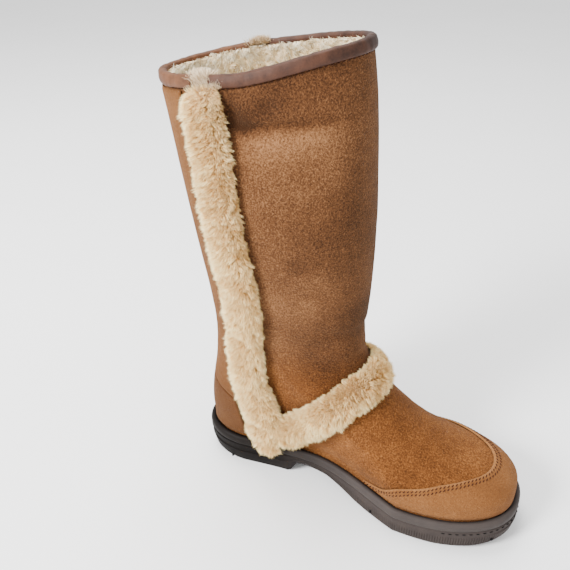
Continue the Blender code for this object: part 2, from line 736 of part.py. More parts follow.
def make_insole():
    """A plain sheet that fills the upper's foot, on the outsole."""
    inset = FEATHER_INSET + WALL + INSOLE_GAP
    count = 30
    rings = []
    for lift in (0.0, INSOLE_THICKNESS):
        line = []
        for side in (MEDIAL, LATERAL):
            plan = sole_side(side, inset, np.linspace(0, 1, count + 1))
            height = body_top(plan[:, 0]) + GAP + lift
            place = np.column_stack([plan[:, 0], toe_turn(plan[:, 0]) + side.sign * plan[:, 1], height])
            line.append(place)
        rings.append(np.vstack([line[0], line[1][-2:0:-1]]))
    around = 2 * count
    faces = strip_faces(2, around, 0, closed=True)
    for start, flip in ((0, True), (around, False)):
        for k in range(count):
            corners = []
            for corner in (k, k + 1, (around - k - 1) % around, (around - k) % around):
                if start + corner not in corners:
                    corners.append(start + corner)
            faces.append(tuple(corners[::-1]) if flip else tuple(corners))
    material = finish_material("insole_fleece", CREAM_LINING, 0.95)
    return solid_object("insole", np.vstack(rings), faces, material)


def make_upper(surface):
    """One hollow wall from the sole seat to the collar, open at both ends."""
    turns = np.arange(TURNS) / TURNS
    outer = []
    inner = []
    for level in range(len(UPPER_RINGS)):
        levels = np.full(TURNS, float(level))
        outside = surface.at(turns, levels)
        inside = surface.at(turns, levels, -WALL)
        if level in (0, surface.last):
            inside[:, 2] = outside[:, 2]
        outer.append(outside)
        inner.append(inside)
    material = finish_material("upper_suede", BROWN_SUEDE, 0.9)
    return sheet_solid("upper", np.array(outer), np.array(inner), material, closed=True)


def overlay(surface, name, turns, levels, colour):
    """A thin suede piece on the upper, over a grid of turns and levels."""
    inner = surface.at(turns, levels, OVERLAY_GAP)
    outer = surface.at(turns, levels, OVERLAY_GAP + OVERLAY_THICKNESS)
    return sheet_solid(name, outer, inner, finish_material(name + "_suede", colour, 0.75))


def between(low, high, rows):
    """Rows of levels from a low line to a high one."""
    share = np.linspace(0, 1, rows + 1)[:, None]
    return low[None, :] * (1 - share) + high[None, :] * share


def make_toe_bumper(surface):
    shares = np.linspace(TOE_SEAM[0].share, 1, 19)
    seam = smooth_between(column(TOE_SEAM, "share"), column(TOE_SEAM, "level"), shares)
    turns = np.concatenate([shares / 2, 1 - shares[-2::-1] / 2])
    high = np.concatenate([seam, seam[-2::-1]])
    levels = between(np.full(len(turns), OVERLAY_FOOT), high, 6)
    return overlay(surface, "toe_bumper", np.broadcast_to(turns, levels.shape), levels, TAN_SUEDE)


def counter_top(across):
    """The counter's upper line, highest at the back, across from -1 to 1."""
    return COUNTER_LEVEL - COUNTER_DROP * across**2


def make_heel_counter(surface):
    """The smoother panel round the heel, between the fur strips."""
    across = np.linspace(-1, 1, 15)
    levels = between(np.full(len(across), OVERLAY_FOOT), counter_top(across), 6)
    turns = np.broadcast_to(across * COUNTER_SHARE / 2, levels.shape)
    return overlay(surface, "heel_counter", turns, levels, TAN_SUEDE)


def make_back_stay(surface):
    """The panel up the back of the shaft, from the counter to the binding, between the fur strips."""
    across = np.linspace(-1, 1, 9)
    top = surface.last - STAY_TOP
    first_width = STAY_LINE[0].share / COUNTER_SHARE
    low = counter_top(across * first_width) + STAY_SEAM
    levels = between(low, np.full(len(across), top), 13)
    half = smooth_between(column(STAY_LINE, "level"), column(STAY_LINE, "share"), levels)
    return overlay(surface, "back_stay", across * half / 2, levels, TAN_SUEDE)


def fur_line(points, mirrored):
    """Turn, level and the roll's values along a fur line, for the medial side or mirrored to the lateral."""
    knots = np.arange(len(points))
    fine = np.linspace(0, len(points) - 1, 40 * len(points))
    table = {name: smooth_between(knots, column(points, name), fine) for name in FurPoint._fields}
    turn = table["share"] / 2
    table["turn"] = 1 - turn if mirrored else turn
    return table


def joined_line(first, second):
    """Two lines as one, the second one's points from its far end back to its start."""
    return {name: np.concatenate([first[name], second[name][-2::-1]]) for name in first}


def even_line(surface, line):
    """The same line at even steps of its own length."""
    places = surface.at(line["turn"], line["level"])
    steps = np.linalg.norm(np.diff(places, axis=0), axis=1)
    run = np.concatenate([[0], np.cumsum(steps)])
    count = max(4, round(run[-1] / FUR_STEP))
    wanted = np.linspace(0, run[-1], count + 1)
    return {name: np.interp(wanted, run, values) for name, values in line.items()}


def fur_sections(surface, line, upright_ends=0):
    """Rings of a fur roll that lies on the upper. Every other point of the arch is the tip of a lock,
    pushed out and along the way the fur is combed. The first and last few rings may turn upright, so
    that the roll ends flush along a strip."""
    rng = np.random.default_rng(LOCK_SEED)
    line = even_line(surface, line)
    arch = np.linspace(0, math.pi, ARCH_POINTS)
    sections = []
    count = len(line["turn"])
    for i in range(count):
        turn = line["turn"][i]
        level = line["level"][i]
        before = max(i - 1, 0)
        after = min(i + 1, count - 1)
        ahead = surface.at(line["turn"][after], line["level"][after])
        behind = surface.at(line["turn"][before], line["level"][before])
        along = ahead - behind
        along = along / np.linalg.norm(along)
        normal = surface.sample(surface.normals, turn, level)
        normal = normal / np.linalg.norm(normal)
        across = np.cross(normal, along)
        from_end = min(i, count - 1 - i)
        if from_end < upright_ends:
            upward = surface.at(turn, level + 0.2) - surface.at(turn, level - 0.2)
            upright = 1 - from_end / upright_ends
            across = across * (1 - upright) + upward / np.linalg.norm(upward) * upright
        across = across / np.linalg.norm(across)
        half = FUR_WIDTH / 2 * line["width"][i]
        height = FUR_HEIGHT * line["height"][i]
        stand = line["stand"][i] * (FEATHER_INSET + FIT_GAP)
        drop = np.array([0, 0, -line["drop"][i] * RIM_HEIGHT])
        ring = []
        for k, angle in enumerate(arch):
            tip = (i + k) % 2 == 0
            size = rng.uniform(0.55, 1.15) if tip else 0.0
            reach = math.cos(angle) * half
            rise = EDGE_SHARE + (1 - EDGE_SHARE) * math.sin(angle) ** ARCH_ROUND
            out = height * rise + size * LOCK_HEIGHT * math.sin(angle)
            if k in (0, len(arch) - 1):
                reach *= 1 + LOCK_SPREAD * size
            side_turn, side_level = surface.step(turn, level, across * reach)
            place = surface.at(side_turn, side_level, FUR_GAP + stand + out)
            lean = along * LOCK_LEAN * size if 0 < i < count - 1 else 0
            ring.append(place + drop + lean)
        for share in FOOT_SHARES:
            side_turn, side_level = surface.step(turn, level, across * share * half)
            ring.append(surface.at(side_turn, side_level, FUR_GAP + stand) + drop)
        sections.append(ring)
    return sections


def make_fur(surface):
    """Two strips down the sides and the band over the instep, which ends against them."""
    material = finish_material("fur_ankle_band_fleece", CREAM_FUR, 0.95)
    line = joined_line(fur_line(BAND_LINE, False), fur_line(BAND_LINE, True))
    ring_solid("fur_ankle_band", fur_sections(surface, line, BAND_UPRIGHT_RINGS), material, smooth=False)
    for name, mirrored in (("medial", False), ("lateral", True)):
        material = finish_material(f"fur_strip_{name}_fleece", CREAM_FUR, 0.95)
        sections = fur_sections(surface, fur_line(STRIP_LINE, mirrored))
        ring_solid(f"fur_strip_{name}", sections, material, smooth=False)


def make_binding(surface, name, first_turn, last_turn, sections):
    """Leather folded over the collar's edge: a U section that hangs outside and inside the wall."""
    turns = np.linspace(first_turn, last_turn, sections)
    edge = surface.last
    level_height = np.linalg.norm(surface.at(turns, edge) - surface.at(turns, edge - 1), axis=1)
    outside = -BINDING_HEIGHT / level_height
    inside = -BINDING_INSIDE / level_height
    near = BINDING_GAP
    far = BINDING_GAP + BINDING_THICKNESS
    rows = []
    for i, turn in enumerate(turns):
        up = surface.at(turn, edge) - surface.at(turn, edge - 0.2)
        up = up / np.linalg.norm(up)
        top_out = surface.at(turn, edge, near)
        top_in = surface.at(turn, edge, -WALL - near)
        section = [
            surface.at(turn, edge + outside[i], near),
            surface.at(turn, edge + outside[i], far),
            surface.at(turn, edge + 0.5 * outside[i], far + BINDING_SWELL),
            surface.at(turn, edge, far) + up * near,
            surface.at(turn, edge, near) + up * far,
            surface.at(turn, edge, -WALL - near) + up * far,
            surface.at(turn, edge, -WALL - far) + up * near,
            surface.at(turn, edge + inside[i], -WALL - far),
            surface.at(turn, edge + inside[i], -WALL - near),
            top_in + up * near,
            top_out + up * near,
        ]
        rows.append(section)
    material = finish_material(name + "_leather", LEATHER, 0.55)
    return ring_solid(name, rows, material)


def make_bindings(surface):
    """One stretch over the front and one over the back, with the fur seams between them."""
    seam = STRIP_LINE[0].share / 2
    make_binding(surface, "collar_binding_front", seam + HALF_SEAM, 1 - seam - HALF_SEAM, 31)
    make_binding(surface, "collar_binding_back", -seam + HALF_SEAM, seam - HALF_SEAM, 17)


def place_origin():
    """Everything moves so that the origin is under the middle of the heel tread."""
    shift = -HEEL_CENTRE * SOLE_LENGTH
    for item in bpy.data.objects:
        for vertex in item.data.vertices:
            vertex.co.x += shift


def main():
    clear_scene()
    surface = UpperSurface()
    make_outsole()
    make_welt_rim(surface)
    make_insole()
    make_upper(surface)
    make_toe_bumper(surface)
    make_heel_counter(surface)
    make_back_stay(surface)
    make_fur(surface)
    make_bindings(surface)
    place_origin()


if __name__ == "__main__":
    main()
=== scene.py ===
"""Looks of the tall sheepskin boot: suede, fur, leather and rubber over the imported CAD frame.

Metres, +X toward the toe, +Y toward the wearer's left, +Z up. Tables and surface functions repeat
those of the part's source, with x counted from the back of the sole until a mesh is made.
"""

import math
from collections import namedtuple

import bmesh
import bpy
import numpy as np
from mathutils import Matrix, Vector, kdtree


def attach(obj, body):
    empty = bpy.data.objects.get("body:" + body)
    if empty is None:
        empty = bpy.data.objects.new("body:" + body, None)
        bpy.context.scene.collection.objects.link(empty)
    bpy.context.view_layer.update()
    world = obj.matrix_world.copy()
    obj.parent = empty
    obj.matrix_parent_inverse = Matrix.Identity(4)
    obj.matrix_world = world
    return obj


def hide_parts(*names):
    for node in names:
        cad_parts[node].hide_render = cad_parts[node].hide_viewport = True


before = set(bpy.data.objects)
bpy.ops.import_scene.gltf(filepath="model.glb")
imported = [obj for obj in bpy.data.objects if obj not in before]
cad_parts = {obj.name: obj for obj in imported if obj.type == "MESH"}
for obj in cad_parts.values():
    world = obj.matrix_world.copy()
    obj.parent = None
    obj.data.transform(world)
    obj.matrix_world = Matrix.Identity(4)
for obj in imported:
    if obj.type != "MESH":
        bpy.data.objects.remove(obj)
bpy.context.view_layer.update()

# Sole sizes
SOLE_LENGTH = 0.275
BALL_WIDTH = 0.108
HEEL_WIDTH = 0.077
WAIST_WIDTH = 0.074
HEEL_HEIGHT = 0.0305
BALL_HEIGHT = 0.0245
TOE_HEIGHT = 0.032
TOE_SPRING = 0.008
ARCH_RISE = 0.013
TOE_TURN = 0.005
HEEL_CENTRE = 0.16
TOE_TURN_START = 0.55

# Rim and the line where the upper meets the sole
RIM_HEIGHT = 0.008
RIM_INSET = 0.0012
FEATHER_INSET = 0.0075
GAP = 0.0003
FIT_GAP = 0.0005
OVERLAY_GAP = 0.0007
RIM_GAP = 0.0008

# Upper sizes
WALL = 0.0025
ANKLE_RISE = 0.106
COLLAR_FRONT_HEIGHT = 0.359
COLLAR_BACK_HEIGHT = 0.333
SHAFT_WIDTH = 0.104
OVERLAY_THICKNESS = 0.0013

# Collar binding
BINDING_HEIGHT = 0.0057
BINDING_INSIDE = 0.006
BINDING_THICKNESS = 0.0014
BINDING_GAP = 0.0006
HALF_SEAM = 0.018

# Overlay edges: the toe seam's level at shares of one side, and the half widths of the panel at the
# back at its levels, with the seam between its two parts
SeamPoint = namedtuple("SeamPoint", "share level")


def table(kind, *rows):
    """Rows of one kind of named tuple."""
    return tuple(kind(*row) for row in rows)


TOE_SEAM = table(
    SeamPoint,
    (0.552, 1.12),
    (0.590, 1.45),
    (0.647, 2.65),
    (0.743, 3.60),
    (0.823, 4.25),
    (0.905, 4.50),
    (1.000, 4.42),
)
OVERLAY_FOOT = 1.04
COUNTER_LEVEL = 6.0
COUNTER_DROP = 0.8
COUNTER_SHARE = 0.190
STAY_LINE = table(
    SeamPoint,
    (0.190, 5.00),
    (0.205, 6.50),
    (0.222, 9.00),
    (0.262, 12.00),
    (0.285, 14.50),
    (0.285, 20.00),
)
STAY_TOP = 0.40

# Fur
FUR_WIDTH = 0.031
FUR_HEIGHT = 0.0135

# Middle lines of the fur, the same on both sides of the boot. Width and height are shares of the
# fur's own; stand lifts the roll off the upper, and drop lowers it, as shares of the rim's height.
# The strip's hair spreads further back at its foot than the CAD piece does, and the band's hair
# starts inside the strip, so that the two grow together at the corner.
FurPoint = namedtuple("FurPoint", "share level width height stand drop", defaults=(0.0, 0.0))
STRIP_LINE = table(
    FurPoint,
    (0.383, 19.58, 0.78, 0.50),
    (0.384, 19.30, 0.96, 0.88),
    (0.386, 18.90, 1.00, 1.00),
    (0.394, 17.50, 1.00, 1.00),
    (0.396, 16.00, 1.00, 1.00),
    (0.403, 14.00, 1.00, 1.00),
    (0.395, 12.80, 1.00, 1.00),
    (0.369, 11.00, 1.00, 1.00),
    (0.347, 9.30, 1.00, 1.00),
    (0.318, 7.40, 1.05, 1.00),
    (0.289, 5.20, 1.10, 1.00),
    (0.268, 3.30, 1.14, 1.00),
    (0.258, 2.15, 1.16, 0.95),
    (0.259, 1.60, 1.06, 0.78, 0.4, 0.0),
    (0.269, 1.32, 0.92, 0.54, 1.0, 0.1),
    (0.280, 1.15, 0.62, 0.36, 1.1, 0.6),
)
BAND_LINE = table(
    FurPoint,
    (0.292, 2.55, 0.88, 0.80),
    (0.320, 3.12, 0.98, 0.92),
    (0.348, 3.72, 0.98, 0.97),
    (0.402, 4.78, 0.95, 0.97),
    (0.468, 5.82, 0.95, 0.93),
    (0.568, 6.98, 0.93, 0.88),
    (0.743, 8.36, 0.92, 0.81),
    (0.853, 8.98, 0.91, 0.78),
    (1.000, 9.28, 0.91, 0.78),
)
FUR_GAP = 0.0013

# Tread and side of the sole
TREAD_BEVEL = 0.0025
HEEL_DRAFT = 0.0040
FOREFOOT_DRAFT = 0.0010
SIDE_STEP = 0.0012
BAND_SHARE = 0.60
BAND_BEVEL = 0.0008
TOP_BEVEL = 0.0012
GROOVE_WIDTH = 0.0045
GROOVE_DEPTH = 0.0035
GROOVE_ANGLE = 0.22
EDGE_LAND = 0.0035
CUT_BELOW = 0.004
NOTCH_WIDTH = 0.0024
NOTCH_DEPTH = 0.0022
NOTCH_FOOT = 0.0030
NOTCH_TOP = 0.0068
GROOVES = (0.055, 0.120, 0.205, 0.275, 0.520, 0.590, 0.660, 0.730, 0.800, 0.870, 0.935)

# Points in each part of an outline
DENSE = 181

# A round end's share of a shaft ring's length, and the waist's place along a ring's side
OVAL_CAP = 0.49
WAIST_PLACE = 0.45

# Exponents of the round ends: 2 is an ellipse, and more is squarer
HEEL_ROUND = 2.3
TOE_ROUND = 2.36
SHAFT_ROUND = 2.1

# Heights along the sole: share of its length, of the three top heights, and of arch or spring below
SoleLevel = namedtuple("SoleLevel", "along heel_top ball_top toe_top arch spring")
SOLE_LEVELS = table(
    SoleLevel,
    (0.000, 1.03, 0.00, 0.00, 0.00, 0.20),
    (0.035, 1.02, 0.00, 0.00, 0.00, 0.00),
    (0.200, 1.00, 0.00, 0.00, 0.00, 0.00),
    (0.312, 0.81, 0.19, 0.00, 0.00, 0.00),
    (0.324, 0.78, 0.22, 0.00, 0.22, 0.00),
    (0.342, 0.76, 0.24, 0.00, 0.90, 0.00),
    (0.362, 0.70, 0.30, 0.00, 1.00, 0.00),
    (0.440, 0.50, 0.50, 0.00, 0.80, 0.00),
    (0.540, 0.26, 0.74, 0.00, 0.10, 0.00),
    (0.580, 0.18, 0.82, 0.00, 0.00, 0.00),
    (0.700, 0.00, 1.00, 0.00, 0.00, 0.00),
    (0.800, 0.00, 0.80, 0.20, 0.00, 0.05),
    (0.900, 0.00, 0.40, 0.60, 0.00, 0.40),
    (1.000, 0.00, 0.00, 1.00, 0.00, 1.00),
)

# Row of SOLE_LEVELS where the heel's breast ends
BREAST_LAST = 6

# The sole seen from above, each side by itself, as shares of the half widths. The last's own waist
# is fuller than the sole's.
SoleSide = namedtuple("SoleSide", "sign heel waist ball ball_at last_waist")
MEDIAL = SoleSide(-1, 0.98, 0.82, 1.00, 0.675, 0.92)
LATERAL = SoleSide(1, 1.00, 1.02, 1.00, 0.610, 1.02)

# Small notches in the side of the sole: share along it and side
NOTCHES = tuple((along, side) for side in (MEDIAL, LATERAL) for along in (0.127, 0.603, 0.945))

# Rings of the upper from the sole seat to the collar. Shares: x of SOLE_LENGTH; rise -1 at the
# foot of the rim, 0 at its top, 1 at ANKLE_RISE above it and 2 at the collar; heel, waist and ball
# of the half widths at the feather line; oval from foot shape to oval shaft; shaft of half the
# SHAFT_WIDTH; sole from free ring to the sole's own outline.
Ring = namedtuple("Ring", "name back back_rise front front_rise heel waist ball oval shaft sole")
UPPER_RINGS = table(
    Ring,
    ("seat", 0.027, -1.000, 0.973, -1.000, 1.00, 1.00, 1.00, 0.00, 0.68, 1.0),
    ("rim", 0.026, 0.005, 0.974, 0.005, 1.00, 1.00, 1.00, 0.00, 0.68, 1.0),
    ("wall", 0.023, 0.090, 0.972, 0.095, 1.03, 1.04, 1.01, 0.00, 0.68, 0.4),
    ("toe_low", 0.022, 0.180, 0.957, 0.170, 1.05, 1.08, 0.97, 0.02, 0.68, 0.0),
    ("toe_mid", 0.023, 0.270, 0.925, 0.225, 1.06, 1.10, 0.90, 0.06, 0.68, 0.0),
    ("toe_top", 0.026, 0.360, 0.870, 0.275, 1.06, 1.12, 0.82, 0.12, 0.68, 0.0),
    ("vamp_low", 0.031, 0.450, 0.790, 0.340, 1.06, 1.12, 0.76, 0.22, 0.68, 0.0),
    ("vamp_mid", 0.037, 0.545, 0.700, 0.440, 1.05, 1.11, 0.72, 0.36, 0.68, 0.0),
    ("vamp_top", 0.042, 0.640, 0.615, 0.570, 1.04, 1.09, 0.70, 0.54, 0.68, 0.0),
    ("instep", 0.045, 0.740, 0.550, 0.715, 1.03, 1.06, 0.70, 0.72, 0.68, 0.0),
    ("notch", 0.047, 0.860, 0.512, 0.860, 1.02, 1.03, 0.70, 0.88, 0.68, 0.0),
    ("ankle", 0.046, 1.000, 0.497, 1.000, 1.00, 1.00, 0.70, 1.00, 0.70, 0.0),
    ("low_1", 0.041, 1.095, 0.500, 1.095, 1.00, 1.00, 0.70, 1.00, 0.76, 0.0),
    ("low_2", 0.033, 1.200, 0.504, 1.200, 1.00, 1.00, 0.70, 1.00, 0.84, 0.0),
    ("calf_1", 0.022, 1.310, 0.505, 1.310, 1.00, 1.00, 0.70, 1.00, 0.92, 0.0),
    ("calf_2", 0.009, 1.430, 0.503, 1.430, 1.00, 1.00, 0.70, 1.00, 0.98, 0.0),
    ("calf_3", -0.006, 1.550, 0.499, 1.550, 1.00, 1.00, 0.70, 1.00, 1.00, 0.0),
    ("calf_4", -0.022, 1.670, 0.494, 1.670, 1.00, 1.00, 0.70, 1.00, 0.99, 0.0),
    ("calf_5", -0.039, 1.790, 0.488, 1.790, 1.00, 1.00, 0.70, 1.00, 0.95, 0.0),
    ("collar_low", -0.055, 1.900, 0.4775, 1.900, 1.00, 1.00, 0.70, 1.00, 0.91, 0.0),
    ("collar", -0.070, 2.000, 0.464, 2.000, 1.00, 1.00, 0.70, 1.00, 0.87, 0.0),
)

# How far the collar sags below a straight line from back to front, on each side
RimPoint = namedtuple("RimPoint", "along medial lateral")
RIM_SAG = table(
    RimPoint,
    (0.00, 0.0030, 0.0030),
    (0.12, 0.0046, 0.0015),
    (0.32, 0.0058, 0.0000),
    (0.52, 0.0070, 0.0000),
    (0.64, 0.0056, 0.0000),
    (0.78, 0.0028, 0.0000),
    (0.90, 0.0008, 0.0000),
    (1.00, 0.0000, 0.0000),
)
SAG_LEVELS = 4.0

# Levels between which the rings stop following the sole's top line and turn level
FOOT_LEVEL = 6
ANKLE_LEVEL = 11


def smooth_between(knots, values, at):
    """A monotone cubic curve through the knots, held flat outside them."""
    knots = np.asarray(knots, float)
    values = np.asarray(values, float)
    at = np.clip(np.asarray(at, float), knots[0], knots[-1])
    step = np.diff(knots)
    slope = np.diff(values) / step
    tangent = np.zeros(len(knots))
    tangent[0] = slope[0]
    tangent[-1] = slope[-1]
    for i in range(1, len(knots) - 1):
        before = slope[i - 1]
        after = slope[i]
        if before * after > 0:
            near = 2 * step[i] + step[i - 1]
            far = step[i] + 2 * step[i - 1]
            tangent[i] = (near + far) / (near / before + far / after)
    i = np.clip(np.searchsorted(knots, at, side="right") - 1, 0, len(knots) - 2)
    t = (at - knots[i]) / step[i]
    rise_in = tangent[i] * step[i]
    rise_out = tangent[i + 1] * step[i]
    return (
        values[i] * (1 + 2 * t) * (1 - t) ** 2
        + rise_in * t * (1 - t) ** 2
        + values[i + 1] * t * t * (3 - 2 * t)
        + rise_out * t * t * (t - 1)
    )


def column(rows, name):
    return np.array([getattr(row, name) for row in rows])


def rim_top(x):
    """Height of the rim's top edge at a distance from the back of the sole."""
    along = column(SOLE_LEVELS, "along")
    tops = (
        column(SOLE_LEVELS, "heel_top") * HEEL_HEIGHT
        + column(SOLE_LEVELS, "ball_top") * BALL_HEIGHT
        + column(SOLE_LEVELS, "toe_top") * TOE_HEIGHT
    )
    return smooth_between(along, tops, np.asarray(x) / SOLE_LENGTH)


def tread_height(x):
    """Height of the sole's underside: heel flat, breast, arch, forefoot flat and toe spring."""
    along = column(SOLE_LEVELS, "along")
    under = (
        column(SOLE_LEVELS, "arch") * ARCH_RISE
        + column(SOLE_LEVELS, "spring") * TOE_SPRING
    )
    return np.interp(np.asarray(x) / SOLE_LENGTH, along, under)


def body_top(x):
    """Top of the outsole, under the rim, the upper and the insole."""
    return rim_top(x) - RIM_HEIGHT - GAP


def half_loop(back, front, heel, waist, ball, rear_cap, front_cap, rear_round, front_round):
    """One side of a ring seen from above, from its back centre to its front centre."""
    length = front - back
    rear = rear_cap * length
    fore = front_cap * length
    turn = np.linspace(0, math.pi / 2, DENSE)
    rear_x = back + rear * (1 - np.cos(turn) ** (2 / rear_round))
    rear_y = heel * np.sin(turn) ** (2 / rear_round)
    fore_x = front - fore * (1 - np.sin(turn) ** (2 / front_round))
    fore_y = ball * np.cos(turn) ** (2 / front_round)
    straight = length - fore - rear
    between = np.linspace(0, 1, DENSE)[1:-1]
    side_x = back + rear + between * straight
    side_y = smooth_between((0, WAIST_PLACE, 1), (heel, waist, ball), between)
    return np.column_stack(
        [np.concatenate([rear_x, side_x, fore_x]), np.concatenate([rear_y, side_y, fore_y])]
    )


def run_of(line):
    """Distance along a line at each of its points."""
    return np.concatenate([[0], np.cumsum(np.linalg.norm(np.diff(line, axis=0), axis=1))])


def resample(line, shares):
    """Points at these shares of a line's own length."""
    run = run_of(line)
    run = run / run[-1]
    return np.column_stack([np.interp(shares, run, line[:, k]) for k in range(line.shape[1])])


def inward(line):
    """Unit normals of one side's line, pointing to the ring's middle."""
    along = np.gradient(line, axis=0)
    along /= np.linalg.norm(along, axis=1)[:, None] + 1e-12
    return np.column_stack([along[:, 1], -along[:, 0]])


def sole_side(side, inset=0.0, shares=None):
    """One side of the sole's outline, y measured outward, moved in by the inset."""
    if shares is None:
        shares = np.linspace(0, 1, DENSE)
    line = half_loop(
        0.0,
        SOLE_LENGTH,
        side.heel * HEEL_WIDTH / 2,
        side.waist * WAIST_WIDTH / 2,
        side.ball * BALL_WIDTH / 2,
        HEEL_CENTRE,
        1 - side.ball_at,
        HEEL_ROUND,
        TOE_ROUND,
    )
    line = resample(line, np.linspace(0, 1, DENSE))
    line = line + inward(line) * inset
    line[0, 1] = 0.0
    line[-1, 1] = 0.0
    return resample(line, shares)


def toe_turn(x):
    """How far the toe leans toward the medial side, which gives the last its left shape."""
    reach = np.clip((np.asarray(x) / SOLE_LENGTH - TOE_TURN_START) / (1 - TOE_TURN_START), 0, 1)
    return -TOE_TURN * reach**1.5


def rise_height(share, collar_height):
    """Height above the rim's top: rise -1 is the sole seat, 1 the ankle and 2 the collar."""
    foot = ANKLE_RISE if share > 0 else RIM_HEIGHT
    shaft = collar_height - HEEL_HEIGHT - ANKLE_RISE
    return foot * min(share, 1) + shaft * max(share - 1, 0)


def ring_side(side, level, shares):
    """Points of one side of the ring at a level, which is a row number and may lie between rows."""
    rows = np.arange(len(UPPER_RINGS))
    value = {
        name: float(smooth_between(rows, column(UPPER_RINGS, name), level))
        for name in Ring._fields[1:]
    }
    oval = value["oval"]
    back = value["back"] * SOLE_LENGTH
    front = value["front"] * SOLE_LENGTH
    shaft = value["shaft"] * SHAFT_WIDTH / 2
    heel = value["heel"] * (side.heel * HEEL_WIDTH / 2 - FEATHER_INSET)
    waist = value["waist"] * (side.last_waist * WAIST_WIDTH / 2 - FEATHER_INSET)
    ball = value["ball"] * (side.ball * BALL_WIDTH / 2 - FEATHER_INSET)
    own = half_loop(
        back,
        front,
        heel + (shaft - heel) * oval,
        waist + (shaft - waist) * oval,
        ball + (shaft - ball) * oval,
        HEEL_CENTRE + (OVAL_CAP - HEEL_CENTRE) * oval,
        (1 - side.ball_at) + (OVAL_CAP - 1 + side.ball_at) * oval,
        HEEL_ROUND + (SHAFT_ROUND - HEEL_ROUND) * oval,
        TOE_ROUND + (SHAFT_ROUND - TOE_ROUND) * oval,
    )
    plan = resample(own, shares)
    if value["sole"] > 0:
        plan += value["sole"] * (sole_side(side, FEATHER_INSET, shares) - plan)
    along = np.clip((plan[:, 0] - back) / (front - back), 0, 1)
    above = (
        rise_height(value["back_rise"], COLLAR_BACK_HEIGHT) * (1 - along)
        + rise_height(value["front_rise"], COLLAR_FRONT_HEIGHT) * along
    )
    name = "medial" if side.sign < 0 else "lateral"
    sag = smooth_between(column(RIM_SAG, "along"), column(RIM_SAG, name), along)
    reach = np.clip((level - len(UPPER_RINGS) + 1) / SAG_LEVELS + 1, 0, 1)
    above -= sag * reach**1.5
    shaft_share = np.clip((level - FOOT_LEVEL) / (ANKLE_LEVEL - FOOT_LEVEL), 0, 1)
    seat = rim_top(plan[:, 0]) * (1 - shaft_share) + HEEL_HEIGHT * shaft_share
    centre = toe_turn(plan[:, 0])
    return np.column_stack([plan[:, 0], centre + side.sign * plan[:, 1], seat + above])


class UpperSurface:
    """The upper's outer surface, asked by turn and level. Turn 0 is the back centre, 0 to 0.5 the
    medial side, 0.5 the front centre and 0.5 to 1 the lateral side."""

    def __init__(self, columns=240, rows_between=8):
        self.last = len(UPPER_RINGS) - 1
        self.rows_between = rows_between
        self.columns = columns
        shares = np.linspace(0, 1, columns // 2 + 1)
        levels = np.linspace(0, self.last, self.last * rows_between + 1)
        rings = []
        for level in levels:
            medial = ring_side(MEDIAL, level, shares)
            lateral = ring_side(LATERAL, level, shares)
            rings.append(np.vstack([medial, lateral[-2:0:-1]]))
        self.points = np.array(rings)
        around = np.roll(self.points, -1, axis=1) - np.roll(self.points, 1, axis=1)
        upward = np.gradient(self.points, axis=0)
        normals = np.cross(around, upward)
        self.normals = normals / np.linalg.norm(normals, axis=2)[:, :, None]

    def sample(self, grid, turn, level):
        column_at = (np.asarray(turn, float) % 1.0) * self.columns
        row_at = np.clip(np.asarray(level, float), 0, self.last) * self.rows_between
        left = np.floor(column_at).astype(int)
        low = np.minimum(np.floor(row_at).astype(int), len(grid) - 2)
        across = (column_at - left)[..., None]
        up = (row_at - low)[..., None]
        left = left % self.columns
        right = (left + 1) % self.columns
        lower = grid[low, left] * (1 - across) + grid[low, right] * across
        upper = grid[low + 1, left] * (1 - across) + grid[low + 1, right] * across
        return lower * (1 - up) + upper * up

    def at(self, turn, level, out=0.0):
        """World points this far outside the surface."""
        normal = self.sample(self.normals, turn, level)
        normal = normal / np.linalg.norm(normal, axis=-1)[..., None]
        return self.sample(self.points, turn, level) + np.asarray(out)[..., None] * normal

    def outward(self, turn, level):
        return unit(self.sample(self.normals, turn, level))

    def upward(self, turn, level, reach=0.3):
        return unit(self.at(turn, level) - self.at(turn, level - reach))


def side_band(x):
    """Height where the ribbed lower band of the side ends."""
    return tread_height(x) + BAND_SHARE * (body_top(x) - tread_height(x))


def side_draft(x):
    """How far the foot of the side stands in from the rim, most at the heel."""
    forward = np.clip(np.asarray(x) / SOLE_LENGTH / SOLE_LEVELS[BREAST_LAST].along, 0, 1)
    return HEEL_DRAFT + (FOREFOOT_DRAFT - HEEL_DRAFT) * forward**3


def tread_half_width(side, x):
    """Half the tread's flat width at a distance from the back of the sole."""
    line = sole_side(side)
    return np.interp(x, line[:, 0], line[:, 1]) - side_draft(x) - TREAD_BEVEL - SIDE_STEP


def bar(points, faces, plan, low, high):
    """Adds an upright bar between two heights of each corner of its plan."""
    start = len(points)
    count = len(plan)
    points += [(x, y, z) for (x, y), z in zip(plan, low)]
    points += [(x, y, z) for (x, y), z in zip(plan, high)]
    for k in range(count // 2 - 1):
        a, b = k, k + 1
        c, d = count - 2 - k, count - 1 - k
        faces.append(tuple(start + n for n in (a, b, c, d)))
        faces.append(tuple(start + count + n for n in (d, c, b, a)))
    for a in range(count):
        b = (a + 1) % count
        faces.append((start + a, start + count + a, start + count + b, start + b))


